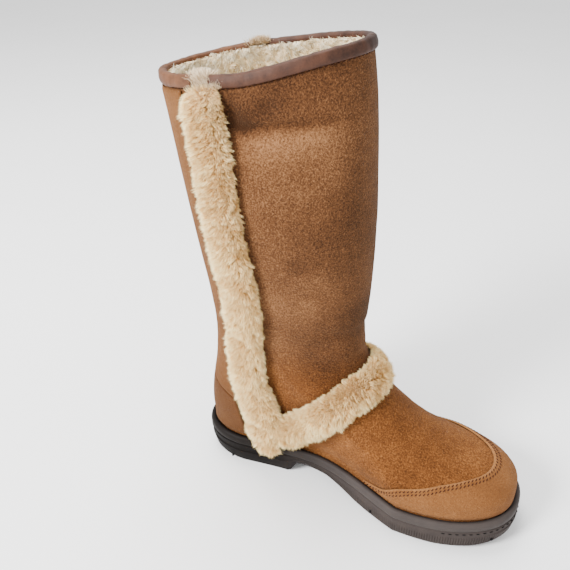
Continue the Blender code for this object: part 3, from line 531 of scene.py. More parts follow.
def groove_cutter():
    """One mesh of separate chevron bars, which cut the tread into lugs inside its edge, and of the
    small blocks that notch the edge."""
    points = []
    faces = []
    for along in GROOVES:
        x = along * SOLE_LENGTH
        middle = toe_turn(x)
        reach = [tread_half_width(side, x) - EDGE_LAND for side in (MEDIAL, LATERAL)]
        front = []
        for side, out in ((-1, reach[0]), (0, 0.0), (1, reach[1])):
            front.append((x + GROOVE_WIDTH / 2 - out * GROOVE_ANGLE, middle + side * out))
        plan = front + [(place - GROOVE_WIDTH, y) for place, y in front[::-1]]
        under = [float(tread_height(place)) for place, _ in plan]
        bar(points, faces, plan, [z - CUT_BELOW for z in under], [z + GROOVE_DEPTH for z in under])
    for along, side in NOTCHES:
        x = along * SOLE_LENGTH
        edge = tread_half_width(side, x) + side_draft(x) + TREAD_BEVEL
        middle = toe_turn(x)
        plan = []
        for place, out in ((-0.5, 0), (0.5, 0), (0.5, 1), (-0.5, 1)):
            y = edge - NOTCH_DEPTH + out * (NOTCH_DEPTH + 2 * CUT_BELOW)
            plan.append((x + place * NOTCH_WIDTH, middle + side.sign * y))
        under = [float(tread_height(place)) for place, _ in plan]
        bar(points, faces, plan, [z + NOTCH_FOOT for z in under], [z + NOTCH_TOP for z in under])
    points = [tuple(np.array(point) + SHIFT) for point in points]
    mesh = bpy.data.meshes.new("tread_groove_cutter")
    mesh.from_pydata(points, [], faces)
    shaper = bmesh.new()
    shaper.from_mesh(mesh)
    bmesh.ops.remove_doubles(shaper, verts=shaper.verts, dist=1e-6)
    bmesh.ops.triangulate(shaper, faces=shaper.faces)
    bmesh.ops.recalc_face_normals(shaper, faces=shaper.faces)
    shaper.to_mesh(mesh)
    shaper.free()
    cutter = linked("tread_groove_cutter", mesh)
    cutter.hide_render = True
    cutter.display_type = "WIRE"
    return cutter


def fur_line(points, mirrored):
    """Turn, level and the roll's values along a fur line, for the medial or the lateral side."""
    knots = np.arange(len(points))
    fine = np.linspace(0, len(points) - 1, 40 * len(points))
    table = {name: smooth_between(knots, column(points, name), fine) for name in FurPoint._fields}
    turn = table["share"] / 2
    table["turn"] = 1 - turn if mirrored else turn
    return table


def joined_line(first, second):
    """Two lines as one, the second one's points from its far end back to its start."""
    return {name: np.concatenate([first[name], second[name][-2::-1]]) for name in first}


def even_line(surface, line, step):
    """The same line at even steps of its own length."""
    run = run_of(surface.at(line["turn"], line["level"]))
    count = max(4, round(run[-1] / step))
    wanted = np.linspace(0, run[-1], count + 1)
    return {name: np.interp(wanted, run, values) for name, values in line.items()}


# Scene sizes
SHIFT = np.array([-HEEL_CENTRE * SOLE_LENGTH, 0.0, 0.0])
UPPER_COLUMNS = 360
UPPER_ROWS = 210
STRAND_WIDTH = 0.00026
LINING_STRAND_WIDTH = 0.00040
TUFT_STRAND_WIDTH = 0.00042
LINING_DEPTH = 0.0016
LINING_REACH = 1.8
COLLAR_ROW_HEIGHT = 0.0205
PILE = 0.0060
LOCK_SPACING = 0.0027
CORE_WIDTH = 0.86
END_REACH = 0.006
LOCK_STRETCH = 1.7
# Painted light on the fur, paler toward the boot's back
PAINTED_BACK_LIGHT = 0.28
BAND_PILE_SHARE = 0.85
SKIN_LIFT = 0.0002
BINDING_SWELL = 0.0005
RIB_PITCH = 0.0020
FINE_RIB = 0.00080
DASH_START = 0.80
DASH_DROP = 0.0005
DASH_PITCH = 0.0052
DASH_LENGTH = 0.0026
DASH_RADIUS = 0.00055

# Stitches, and how far the rows lie below their seams
Stitch = namedtuple("Stitch", "length pitch slant radius")
TOE_STITCH = Stitch(0.0024, 0.0031, 0.6, 0.00046)
TOE_STITCH_DROPS = (("upper", 0.0019), ("lower", 0.0044))
COLLAR_STITCH = Stitch(0.0023, 0.0037, 0.05, 0.00032)
COLLAR_STITCH_DROP = 0.0009
LOOK_AHEAD = 0.0005

# The rim's section: shares of its width and height
RIM_PROFILE = (
    (0, 0), (0.86, 0), (0.95, 0.04), (1.0, 0.14), (1.02, 0.30), (1.02, 0.50), (0.98, 0.66),
    (0.88, 0.82), (0.72, 0.94), (0.52, 1.0), (0.35, 0.98), (0.18, 0.90), (0, 0.86),
)

# Numbers of strands
STRIP_STRANDS = {"medial": 64000, "lateral": 48000}
BAND_STRANDS = 55000
LINING_STRANDS = 32000
LINING_LOCKS = 1500
SEAM_STRANDS = 3600

# How strands bend: down, and out from the roll
Comb = namedtuple("Comb", "down outward")
STRIP_COMB = Comb(0.20, 0.0)
BAND_COMB = Comb(0.16, 0.12)

# Colours, each set from dark to light
UPPER_COLOURS = ((0.032, 0.0125, 0.0048), (0.102, 0.0410, 0.0152), (0.255, 0.118, 0.049))
OVERLAY_COLOURS = ((0.085, 0.030, 0.0085), (0.165, 0.064, 0.0195), (0.27, 0.122, 0.043))
# The back stay and the heel counter are darker than the toe bumper, the counter most: partly their
# own tone, partly painted shadow over the boot's back
STAY_COLOURS = ((0.055, 0.0190, 0.0056), (0.112, 0.0425, 0.0132), (0.195, 0.085, 0.030))
HEEL_SHADOW_COLOURS = ((0.039, 0.0134, 0.0043), (0.079, 0.0297, 0.0094), (0.147, 0.062, 0.022))
THREAD_COLOUR = (0.040, 0.013, 0.006)
# Black of the painted shade in the sole's dash holes and notches
HOLE_SHADE_COLOUR = (0.004, 0.003, 0.003)
FUR_COLOURS = ((0.50, 0.26, 0.075), (0.97, 0.68, 0.28), (1.0, 0.90, 0.54))
FUR_CORE_COLOURS = ((0.38, 0.21, 0.07), (0.62, 0.40, 0.17))
LINING_COLOURS = ((0.84, 0.68, 0.44), (1.0, 0.90, 0.68), (1.0, 0.97, 0.86))
LINING_SHADED = (0.88, 0.82, 0.70)
LINING_CORE_COLOURS = ((0.58, 0.40, 0.20), (0.88, 0.71, 0.45))
TUFT_COLOURS = ((0.36, 0.25, 0.13), (0.66, 0.52, 0.34), (0.88, 0.78, 0.61))
INSOLE_COLOURS = ((0.55, 0.42, 0.26), (0.80, 0.70, 0.52))
BINDING_COLOURS = {
    "front": ((0.024, 0.0085, 0.0042), (0.088, 0.034, 0.0175)),
    "back": ((0.045, 0.016, 0.006), (0.150, 0.058, 0.023)),
}
# Rubber colours at the forefoot and at the heel; the heel's near black is partly painted shadow
SOLE_COLOURS = ((0.040, 0.032, 0.0295), (0.0045, 0.0033, 0.0028))
RIM_COLOURS = ((0.046, 0.038, 0.0355), (0.008, 0.0062, 0.0055))

# Camera and light: each lamp's name, place, width and power
CAMERA_TARGET = (0.0180, 0.0186, 0.1592)
CAMERA_BACK = (0.34718, -0.78164, 0.51817)
CAMERA_DISTANCE = 0.533
CAMERA_SENSOR = 36.0
CAMERA_LENS = 41.0
WORLD_LIGHT = 1.35
LAMP_TARGET = (0.02, 0.0, 0.15)
LAMPS = (
    ("key", (-0.80, -1.30, 1.20), 0.6, 78.0),
    ("fill", (1.35, -0.75, 0.9), 1.2, 3.0),
    ("top", (-0.35, 0.35, 1.7), 1.0, 34.0),
)
FLOOR_HALF = 6.0

rng = np.random.default_rng(11)


def walk(surface, turn, level, vector):
    """Turns and levels reached by going along tangent vectors, for arrays of places."""
    near = 1e-3
    here = surface.at(turn, level)
    by_turn = (surface.at(turn + near, level) - here) / near
    by_level = (surface.at(turn, level + 0.05) - surface.at(turn, level - 0.05)) / 0.1
    aa = (by_turn * by_turn).sum(-1)
    ab = (by_turn * by_level).sum(-1)
    bb = (by_level * by_level).sum(-1)
    va = (by_turn * vector).sum(-1)
    vb = (by_level * vector).sum(-1)
    size = aa * bb - ab * ab
    return turn + (va * bb - vb * ab) / size, level + (vb * aa - va * ab) / size


def unit(vectors):
    return vectors / (np.linalg.norm(vectors, axis=-1)[..., None] + 1e-12)


def value_noise(points, size, seed):
    """Smooth noise from 0 to 1 at points in metres, with features of this size."""
    place = points / size + seed * 17.31
    cell = np.floor(place).astype(np.int64)
    part = place - cell
    part = part * part * (3 - 2 * part)
    total = np.zeros(points.shape[:-1])
    for corner in range(8):
        step = np.array([corner & 1, corner >> 1 & 1, corner >> 2 & 1])
        at = cell + step
        mixed = at[..., 0] * 374761393 + at[..., 1] * 668265263
        mixed = mixed + at[..., 2] * 1442695041 + seed * 974711
        mixed = (mixed ^ (mixed >> 13)) * 1274126177
        value = ((mixed ^ (mixed >> 16)) & 0xFFFF) / 65535.0
        weight = np.prod(np.where(step == 1, part, 1 - part), axis=-1)
        total += weight * value
    return total


def grid_quads(rows, columns, closed=False, flip=False, start=0):
    """Quads of a grid of points, stored row by row."""
    low = np.arange(rows - 1)[:, None] * columns
    here = np.arange(columns if closed else columns - 1)[None, :]
    beside = (here + 1) % columns
    high = low + columns
    quads = np.stack([low + here, low + beside, high + beside, high + here], axis=-1)
    quads = quads.reshape(-1, 4) + start
    return quads[:, ::-1] if flip else quads


def linked(name, data):
    """A new object in the scene for a mesh, lamp or camera."""
    item = bpy.data.objects.new(name, data)
    bpy.context.scene.collection.objects.link(item)
    return item


def keep_number(mesh, label, values):
    kept = mesh.attributes.new(label, "FLOAT", "POINT")
    kept.data.foreach_set("value", np.asarray(values, np.float32).ravel())


def mesh_object(name, points, faces, material, smooth=True, numbers=None):
    """A piece from points in the sole's frame and an array of faces with one corner count."""
    points = np.asarray(points, float).reshape(-1, 3) + SHIFT
    faces = np.asarray(faces)
    mesh = bpy.data.meshes.new(name)
    mesh.vertices.add(len(points))
    mesh.vertices.foreach_set("co", points.astype(np.float32).ravel())
    mesh.loops.add(faces.size)
    mesh.loops.foreach_set("vertex_index", faces.astype(np.int32).ravel())
    mesh.polygons.add(len(faces))
    mesh.polygons.foreach_set("loop_start", np.arange(len(faces), dtype=np.int32) * faces.shape[1])
    mesh.update(calc_edges=True)
    mesh.polygons.foreach_set("use_smooth", np.full(len(faces), smooth))
    for label, values in (numbers or {}).items():
        keep_number(mesh, label, values)
    mesh.materials.append(material)
    return linked(name, mesh)


def turned_outward(item):
    """Faces of a closed piece turned outward."""
    shaper = bmesh.new()
    shaper.from_mesh(item.data)
    bmesh.ops.recalc_face_normals(shaper, faces=shaper.faces)
    shaper.to_mesh(item.data)
    shaper.free()
    return item


def capped_tube(name, ring, material):
    """A smooth closed tube: rings of points along the first axis, with a flat cap at both ends."""
    rows, around = ring.shape[:2]
    mesh = bpy.data.meshes.new(name)
    quads = grid_quads(rows, around, True).tolist()
    caps = [list(range(around))[::-1], list(range((rows - 1) * around, rows * around))]
    mesh.from_pydata((ring.reshape(-1, 3) + SHIFT).tolist(), [], quads + caps)
    mesh.materials.append(material)
    item = turned_outward(linked(name, mesh))
    mesh.polygons.foreach_set("use_smooth", np.ones(len(mesh.polygons), bool))
    return item


def settle(item, slot, *nodes):
    """The piece rides the shoe's one body and stands for these CAD nodes; the slot is not used."""
    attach(item, "root")
    if nodes:
        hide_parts(*nodes)


def closed_sheet(outer, inner, closed=False):
    """Points and quads of a wall between two grids of the same shape, edges closed."""
    rows, columns = outer.shape[:2]
    half = rows * columns
    points = np.vstack([outer.reshape(-1, 3), inner.reshape(-1, 3)])
    faces = [grid_quads(rows, columns, closed), grid_quads(rows, columns, closed, True, half)]
    here = np.arange(columns if closed else columns - 1)
    beside = (here + 1) % columns
    top = (rows - 1) * columns
    inner_top = half + top
    faces.append(np.stack([here, half + here, half + beside, beside], axis=-1))
    rim = (top + here, top + beside, inner_top + beside, inner_top + here)
    faces.append(np.stack(rim, axis=-1))
    if not closed:
        low = np.arange(rows - 1) * columns
        high = low + columns
        faces.append(np.stack([low, high, half + high, half + low], axis=-1))
        low, high = low + columns - 1, high + columns - 1
        faces.append(np.stack([low, half + low, half + high, high], axis=-1))
    return points, np.vstack(faces)


# Materials


class Tree:
    """A material's node tree, built by name."""

    def __init__(self, name):
        self.material = bpy.data.materials.new(name)
        self.material.use_nodes = True
        self.nodes = self.material.node_tree.nodes
        self.links = self.material.node_tree.links
        self.shader = self.nodes["Principled BSDF"]
        self.place = self.nodes.new("ShaderNodeTexCoord").outputs["Object"]

    def feed(self, socket, value):
        """Gives a socket a link, a colour or a plain value."""
        if hasattr(value, "is_output"):
            self.links.new(value, socket)
        else:
            socket.default_value = (*value, 1.0) if isinstance(value, tuple) else value

    def set(self, **values):
        for name, value in values.items():
            self.feed(self.shader.inputs[name.replace("_", " ")], value)

    def noise(self, scale, detail=3.0, rough=0.55, distortion=0.0):
        node = self.nodes.new("ShaderNodeTexNoise")
        values = {"Scale": scale, "Detail": detail, "Roughness": rough, "Distortion": distortion}
        for name, value in values.items():
            node.inputs[name].default_value = value
        self.links.new(self.place, node.inputs["Vector"])
        return node.outputs["Fac"]

    def number(self, label):
        node = self.nodes.new("ShaderNodeAttribute")
        node.attribute_name = label
        return node.outputs["Fac"]

    def math(self, kind, first, second=0.0, third=0.0):
        node = self.nodes.new("ShaderNodeMath")
        node.operation = kind
        for socket, value in zip(node.inputs, (first, second, third)):
            self.feed(socket, value)
        return node.outputs["Value"]

    def ramp(self, value, *stops):
        node = self.nodes.new("ShaderNodeValToRGB")
        ramp = node.color_ramp
        while len(ramp.elements) < len(stops):
            ramp.elements.new(0.5)
        for element, (at, colour) in zip(ramp.elements, stops):
            element.position = at
            element.color = (*colour, 1.0)
        self.links.new(value, node.inputs["Fac"])
        return node.outputs["Color"]

    def mix(self, share, first, second, blend="MIX"):
        node = self.nodes.new("ShaderNodeMix")
        node.data_type = "RGBA"
        node.blend_type = blend
        for place, value in ((0, share), (6, first), (7, second)):
            self.feed(node.inputs[place], value)
        return node.outputs[2]

    def bump(self, height, strength, distance, under=None):
        node = self.nodes.new("ShaderNodeBump")
        node.inputs["Strength"].default_value = strength
        node.inputs["Distance"].default_value = distance
        self.links.new(height, node.inputs["Height"])
        if under is not None:
            self.links.new(under, node.inputs["Normal"])
        return node.outputs["Normal"]


def suede(name, dark, mid, light, zones=True, speck=880.0, grain=1.25):
    """Napped suede: fine light specks over mottled brown. The zones are the mesh's own numbers."""
    tree = Tree(name)
    fine = tree.noise(speck, 2.0, 0.6)
    broad = tree.noise(19.0, 3.0, 0.55, distortion=0.3)
    drift = tree.noise(60.0, 4.0, 0.6)
    tone = tree.math("MULTIPLY_ADD", fine, grain, 0.5 - 0.5 * grain)
    tone = tree.math("ADD", tone, tree.math("MULTIPLY_ADD", broad, 0.46, -0.23))
    tone = tree.math("ADD", tone, tree.math("MULTIPLY_ADD", drift, 0.30, -0.15))
    tone = tree.math("ADD", tone, tree.number("shade"))
    colour = tree.ramp(tone, (0.12, dark), (0.50, mid), (0.90, light))
    if zones:
        gold = tree.mix(1.0, colour, (1.24, 1.05, 0.68), "MULTIPLY")
        colour = tree.mix(tree.number("gold"), colour, gold)
    low = tree.bump(drift, 0.35, 0.0007)
    tree.set(Base_Color=colour, Roughness=0.93, Normal=tree.bump(fine, 1.0, 0.0014, low))
    tree.set(Sheen_Weight=0.09, Sheen_Roughness=0.45, Sheen_Tint=(0.95, 0.62, 0.38))
    tree.set(Specular_IOR_Level=0.08)
    return tree.material


def fleece(name, root, middle, tip, shaded=(0.68, 0.53, 0.35)):
    """Fleece strands, dark between the locks, partly their own tone and partly painted shade, and
    pale at the tips.
    """
    tree = Tree(name)
    colour = tree.ramp(tree.number("tip"), (0.0, root), (0.42, middle), (0.95, tip))
    tint = tree.ramp(tree.number("lock"), (0.0, shaded), (1.0, (1.0, 1.0, 1.0)))
    tinted = tree.mix(1.0, colour, tint, "MULTIPLY")
    tree.set(Base_Color=tinted, Roughness=0.75, Sheen_Weight=0.15, Sheen_Roughness=0.5)
    tree.set(Specular_IOR_Level=0.2)
    return tree.material


def fleece_core(name, dark, light):
    tree = Tree(name)
    fine = tree.noise(420.0, 4.0, 0.7)
    colour = tree.ramp(fine, (0.25, dark), (0.75, light))
    tree.set(Base_Color=colour, Roughness=0.95, Normal=tree.bump(fine, 1.0, 0.0015))
    tree.set(Sheen_Weight=0.3)
    return tree.material


def leather(name, dark, light):
    tree = Tree(name)
    grain = tree.noise(900.0, 3.0, 0.6)
    folds = tree.noise(140.0, 3.0, 0.5)
    tone = tree.math("MULTIPLY_ADD", grain, 0.4, 0.1)
    tone = tree.math("ADD", tone, tree.math("MULTIPLY_ADD", folds, 0.9, -0.3))
    tone = tree.math("ADD", tone, tree.number("shade"))
    colour = tree.ramp(tone, (0.15, dark), (0.85, light))
    low = tree.bump(folds, 0.35, 0.0008)
    tree.set(Base_Color=colour, Roughness=0.6, Normal=tree.bump(grain, 0.3, 0.0002, low))
    tree.set(Specular_IOR_Level=0.22)
    return tree.material


def rubber(name, front, heel, roughness):
    """Sole rubber, grey-brown at the forefoot and nearly black at the heel, partly painted shadow.
    """
    tree = Tree(name)
    grain = tree.noise(1300.0, 2.0, 0.5)
    dust = tree.noise(90.0, 5.0, 0.65)
    along = tree.nodes.new("ShaderNodeSeparateXYZ")
    tree.links.new(tree.place, along.inputs["Vector"])
    # darker toward the heel, partly a painted shadow
    share = tree.math("MULTIPLY_ADD", along.outputs["X"], 1 / 0.09, -0.2)
    share = tree.math("MINIMUM", tree.math("MAXIMUM", share, 0.0), 1.0)
    colour = tree.mix(share, heel, front)
    dusty = tree.ramp(dust, (0.3, (0.86, 0.86, 0.86)), (0.75, (1.12, 1.10, 1.06)))
    colour = tree.mix(1.0, colour, dusty, "MULTIPLY")
    tree.set(Base_Color=colour, Roughness=roughness, Normal=tree.bump(grain, 0.12, 0.0002))
    tree.set(Specular_IOR_Level=0.07)
    return tree.material


def plain(name, colour):
    tree = Tree(name)
    grain = tree.noise(1500.0, 2.0, 0.5)
    shade = tree.ramp(grain, (0.2, tuple(0.8 * part for part in colour)), (0.8, colour))
    tree.set(Base_Color=shade, Roughness=0.6, Normal=tree.bump(grain, 0.2, 0.0001))
    tree.set(Specular_IOR_Level=0.08)
    return tree.material


# Creases of the upper: share along the medial side (over 1 runs on to the
# lateral one), level, and height in millimetres, minus for a trough. Width is in millimetres.
Crease = namedtuple("Crease", "width points")
CREASES = (
    Crease(3.0, ((0.47, 18.60, -1.6), (0.52, 18.46, -3.4), (0.58, 18.43, -3.0), (0.66, 18.40, -2.6),
                 (0.76, 18.30, -2.0), (0.88, 18.28, -0.8))),
    Crease(4.5, ((0.475, 19.35, -0.8), (0.485, 18.95, -1.6), (0.505, 18.60, -2.0))),
    Crease(6.5, ((0.54, 18.95, 0.8), (0.60, 18.98, -1.2), (0.66, 18.95, 1.4), (0.74, 18.90, 1.3),
                 (0.85, 18.9, 0.4))),
    Crease(6.0, ((0.50, 18.02, 0.8), (0.58, 18.00, 2.2), (0.70, 17.97, 1.9), (0.84, 17.85, 0.7))),
    Crease(9.0, ((0.55, 15.9, -0.5), (0.68, 16.2, -0.9), (0.84, 16.4, -0.4))),
    Crease(9.0, ((0.58, 14.0, 0.5), (0.72, 14.3, 0.8), (0.88, 14.6, 0.4))),
    Crease(5.0, ((0.60, 12.2, -0.4), (0.75, 12.0, -0.9), (0.90, 11.75, -1.4), (1.0, 11.7, -1.5),
                 (1.1, 11.8, -1.3), (1.3, 12.1, -0.5))),
    Crease(5.0, ((0.62, 11.0, 0.3), (0.78, 10.9, 0.8), (0.92, 10.9, 1.1), (1.08, 10.9, 1.1),
                 (1.25, 11.0, 0.4))),
    Crease(2.2, ((0.700, 8.05, -0.6), (0.725, 7.70, -0.5), (0.745, 7.25, -0.1))),
    Crease(2.2, ((0.735, 8.10, -0.8), (0.765, 7.70, -0.8), (0.790, 7.20, -0.2))),
    Crease(2.4, ((0.775, 8.20, -0.6), (0.805, 7.75, -0.6), (0.830, 7.30, -0.1))),
    Crease(4.5, ((0.80, 6.9, -0.3), (0.92, 7.1, -0.7), (1.00, 7.15, -0.8), (1.1, 7.0, -0.6),
                 (1.22, 6.6, -0.2))),
    Crease(4.0, ((1.25, 18.3, -0.5), (1.38, 18.35, -1.4), (1.50, 18.2, -1.2))),
    Crease(5.0, ((1.20, 13.0, -0.3), (1.34, 12.8, -0.8), (1.48, 12.9, -0.8))),
)


# Painted shade (minus) and painted light (plus) on the upper: strength, share and level of the
# middle, width and height
SPOTS = (
    (-0.30, 0.50, 18.5, 0.04, 0.45),
    (-0.16, 0.60, 18.95, 0.05, 0.30),
    (-0.12, 0.47, 19.2, 0.03, 0.5),
    (0.14, 0.62, 17.75, 0.15, 0.40),
    (-0.12, 0.84, 15.6, 0.14, 1.4),
    (-0.10, 0.66, 14.6, 0.12, 0.35),
    (0.08, 0.62, 13.4, 0.14, 0.5),
    (-0.18, 0.92, 12.2, 0.18, 0.9),
    (-0.23, 0.75, 10.0, 0.16, 1.3),
    (-0.10, 0.86, 10.4, 0.12, 0.7),
    (-0.08, 0.60, 9.6, 0.08, 0.8),
    (-0.10, 0.72, 11.6, 0.10, 0.5),
    (-0.08, 0.44, 15.0, 0.04, 4.0),
    (-0.10, 0.60, 2.2, 0.10, 1.4),
    (-0.10, 0.74, 4.4, 0.06, 0.8),
    (-0.06, 0.84, 5.6, 0.05, 0.7),
)

# The folded crease under the collar: shares and levels of its line
FOLD_SHARES = (0.47, 0.52, 0.58, 0.66, 0.76, 0.88)
FOLD_LEVELS = (18.60, 18.46, 18.43, 18.40, 18.30, 18.28)


def search_tree(places):
    tree = kdtree.KDTree(len(places))
    for i, place in enumerate(places):
        tree.insert(place, i)
    tree.balance()
    return tree


def crease_height(surface, points):
    """Outward move of each point in metres, from the creases and a slight unevenness."""
    move = np.zeros(len(points))
    for crease in CREASES:
        values = np.array(crease.points)
        fine = np.linspace(0, len(values) - 1, 12 * len(values))
        knots = np.arange(len(values))
        share, level, height = (smooth_between(knots, values[:, k], fine) for k in range(3))
        line = surface.at(share / 2, level)
        tree = search_tree(line)
        width = crease.width / 1000
        box_low = line.min(axis=0) - 3 * width
        box_high = line.max(axis=0) + 3 * width
        near = np.where(((points > box_low) & (points < box_high)).all(axis=1))[0]
        ends = np.sin(np.pi * np.clip(np.arange(len(line)) / (len(line) - 1), 0.02, 0.98)) ** 0.5
        for k in near:
            _, i, distance = tree.find(points[k])
            move[k] += height[i] / 1000 * ends[i] * math.exp(-((distance / width) ** 2))
    uneven = value_noise(points, 0.042, 1) - 0.5
    small = value_noise(points, 0.014, 2) - 0.5
    return move + 0.0011 * uneven + 0.00035 * small


def spot(share, level, at_share, at_level, wide, tall):
    """A soft oval on the upper, 1 at its middle."""
    return np.exp(-(((share - at_share) / wide) ** 2) - ((level - at_level) / tall) ** 2)


def zone_numbers(turn, level):
    """Painted shade and light of the upper's suede, dark above the crease, and golden on the vamp.
    """
    share = np.minimum(turn, 1 - turn) * 2
    shade = np.zeros(turn.shape)
    # the folded crease under the collar: painted shade above, a painted dark line in it, and a
    # painted highlight on the swell below
    fold = np.interp(share, FOLD_SHARES, FOLD_LEVELS)
    near = np.clip((share - 0.44) / 0.05, 0, 1) * (turn < 0.5)
    near *= np.clip((0.98 - share) / 0.25, 0, 1)
    shade -= 0.26 * near * np.exp(-(((level - fold) / 0.09) ** 2))
    shade -= 0.16 * near * np.clip((level - fold) / 0.12, 0, 1)
    shade += 0.10 * near * np.exp(-(((level - fold + 0.38) / 0.24) ** 2))
    for strength, *place in SPOTS:
        shade += strength * spot(share, level, *place)
    # painted shade over the front of the ankle, above level 9.5
    front = np.clip(1 - np.abs(turn - 0.5) / 0.10, 0, 1)
    shade -= 0.10 * front * np.clip((level - 9.5) / 2, 0, 1)
    gold = 1 / (1 + np.exp((level - 9.6) / 0.55))
    gold = np.clip(gold + 0.35 * spot(share, level, 0.66, 9.6, 0.18, 1.2), 0, 1)
    return shade, gold


def make_upper_skin(surface):
    """The hollow upper: creased outside, plainer inside, closed over the collar and at the seat."""
    turns = np.arange(UPPER_COLUMNS) / UPPER_COLUMNS
    levels = np.linspace(0, surface.last, UPPER_ROWS)
    turn_grid, level_grid = np.meshgrid(turns, levels)
    flat = surface.at(turn_grid, level_grid)
    move = crease_height(surface, flat.reshape(-1, 3)).reshape(flat.shape[:2])
    hold = np.clip((level_grid - 0.9) / 0.8, 0, 1)
    hold *= np.clip((surface.last - 0.15 - level_grid) / 0.6, 0, 1)
    outer = surface.at(turn_grid, level_grid, move * hold)
    inner = surface.at(turn_grid, level_grid, -WALL + 0.6 * move * hold)
    inner[0, :, 2] = outer[0, :, 2]
    inner[-1, :, 2] = outer[-1, :, 2]
    coarse_rows = np.append(np.arange(0, UPPER_ROWS - 1, 6), UPPER_ROWS - 1)
    shade, gold = zone_numbers(turn_grid, level_grid)
    inner = inner[coarse_rows]
    count = UPPER_ROWS * UPPER_COLUMNS
    points = np.vstack([outer.reshape(-1, 3), inner.reshape(-1, 3)])
    faces = [grid_quads(UPPER_ROWS, UPPER_COLUMNS, True)]
    faces.append(grid_quads(len(coarse_rows), UPPER_COLUMNS, True, True, count))
    here = np.arange(UPPER_COLUMNS)
    beside = (here + 1) % UPPER_COLUMNS
    top = (UPPER_ROWS - 1) * UPPER_COLUMNS
    inner_top = count + (len(coarse_rows) - 1) * UPPER_COLUMNS
    faces.append(np.stack([here, count + here, count + beside, beside], axis=-1))
    rim = (top + here, top + beside, inner_top + beside, inner_top + here)
    faces.append(np.stack(rim, axis=-1))
    zeros = np.zeros(inner.shape[0] * inner.shape[1])
    numbers = {
        "shade": np.concatenate([shade.ravel(), zeros - 0.1]),
        "gold": np.concatenate([gold.ravel(), zeros]),
    }
    material = suede("upper_suede", *UPPER_COLOURS)
    skin = mesh_object("upper_skin", points, np.vstack(faces), material, numbers=numbers)
    settle(skin, "upper_suede", "upper")


def make_overlay(surface, node, turns, levels, edge_rows, shade, material):
    """A thin overlay whose upper edge rounds over, in place of the CAD piece of its name."""
    lift = np.full(turns.shape, OVERLAY_GAP + OVERLAY_THICKNESS)
    for row, share in edge_rows:
        lift[row] = OVERLAY_GAP + OVERLAY_THICKNESS * share
    outer = surface.at(turns, levels, lift)
    inner = surface.at(turns, levels, OVERLAY_GAP)
    points, faces = closed_sheet(outer, inner)
    numbers = {"shade": np.concatenate([shade.ravel(), shade.ravel()])}
    item = mesh_object(f"{node}_skin", points, faces, material, numbers=numbers)
    settle(item, "overlay_suede", node)


def rod_mesh(starts, ends, radius, lift, sides=6):
    """Points and quads of many short stitches, each thicker in the middle, from starts to ends."""
    along = ends - starts
    way = unit(along)
    out = unit(lift)
    side = unit(np.cross(way, out))
    angles = np.arange(sides) / sides * 2 * math.pi
    rings = []
    for share, thick in ((0.0, 0.25), (0.18, 0.85), (0.5, 1.0), (0.82, 0.85), (1.0, 0.25)):
        centre = starts + along * share
        turn = np.cos(angles)[None, :, None] * side[:, None, :]
        turn = turn + np.sin(angles)[None, :, None] * out[:, None, :]
        rings.append(centre[:, None, :] + radius * thick * turn)
    rings = np.stack(rings, axis=1)
    count, rows = rings.shape[:2]
    quads = grid_quads(rows, sides, True)
    offsets = np.arange(count)[:, None, None] * rows * sides
    return rings.reshape(-1, 3), (quads[None] + offsets).reshape(-1, 4)


def stitch_row(name, surface, turn, level, lift, stitch, material):
    """A row of slanted stitches along a line on the upper."""
    run = run_of(surface.at(turn, level, lift))

    def along(distance):
        return np.interp(distance, run, turn), np.interp(distance, run, level)

    wanted = np.arange(stitch.pitch / 2, run[-1], stitch.pitch)
    centre = surface.at(*along(wanted), lift)
    way = unit(surface.at(*along(wanted + LOOK_AHEAD), lift) - centre)
    out = surface.outward(*along(wanted))
    up = np.cross(out, way)
    way = unit(way * math.cos(stitch.slant) + up * math.sin(stitch.slant))
    half = way * stitch.length / 2
    points, faces = rod_mesh(centre - half, centre + half, stitch.radius, out)
    return mesh_object(name, points, faces, material)


def seam_line():
    """Turns and levels along the toe seam, from the medial side round to the lateral one."""
    shares = np.linspace(TOE_SEAM[0].share, 1, 120)
    seam = smooth_between(column(TOE_SEAM, "share"), column(TOE_SEAM, "level"), shares)
    turns = np.concatenate([shares / 2, 1 - shares[-2::-1] / 2])
    return turns, np.concatenate([seam, seam[-2::-1]])


def make_toe_bumper(surface, tan, thread):
    turns, seam = seam_line()
    rows = 26
    share = np.linspace(0, 1, rows)[:, None] ** 0.8
    levels = OVERLAY_FOOT * (1 - share) + seam[None, :] * share
    grid = np.broadcast_to(turns, levels.shape)
    shade = np.zeros(levels.shape)
    shade[-2:] = 0.22
    shade[-3] = 0.05
    edge_rows = ((-1, 0.35), (-2, 0.95))
    make_overlay(surface, "toe_bumper", grid, levels, edge_rows, shade, tan)
    lift = OVERLAY_GAP + OVERLAY_THICKNESS + 0.0001
    for row, drop in TOE_STITCH_DROPS:
        down = drop / np.linalg.norm(surface.at(turns, seam) - surface.at(turns, seam - 1), axis=1)
        level = np.maximum(seam - down, OVERLAY_FOOT + 0.05)
        item = stitch_row(f"toe_stitches_{row}", surface, turns, level, lift, TOE_STITCH, thread)
        settle(item, "overlay_suede")


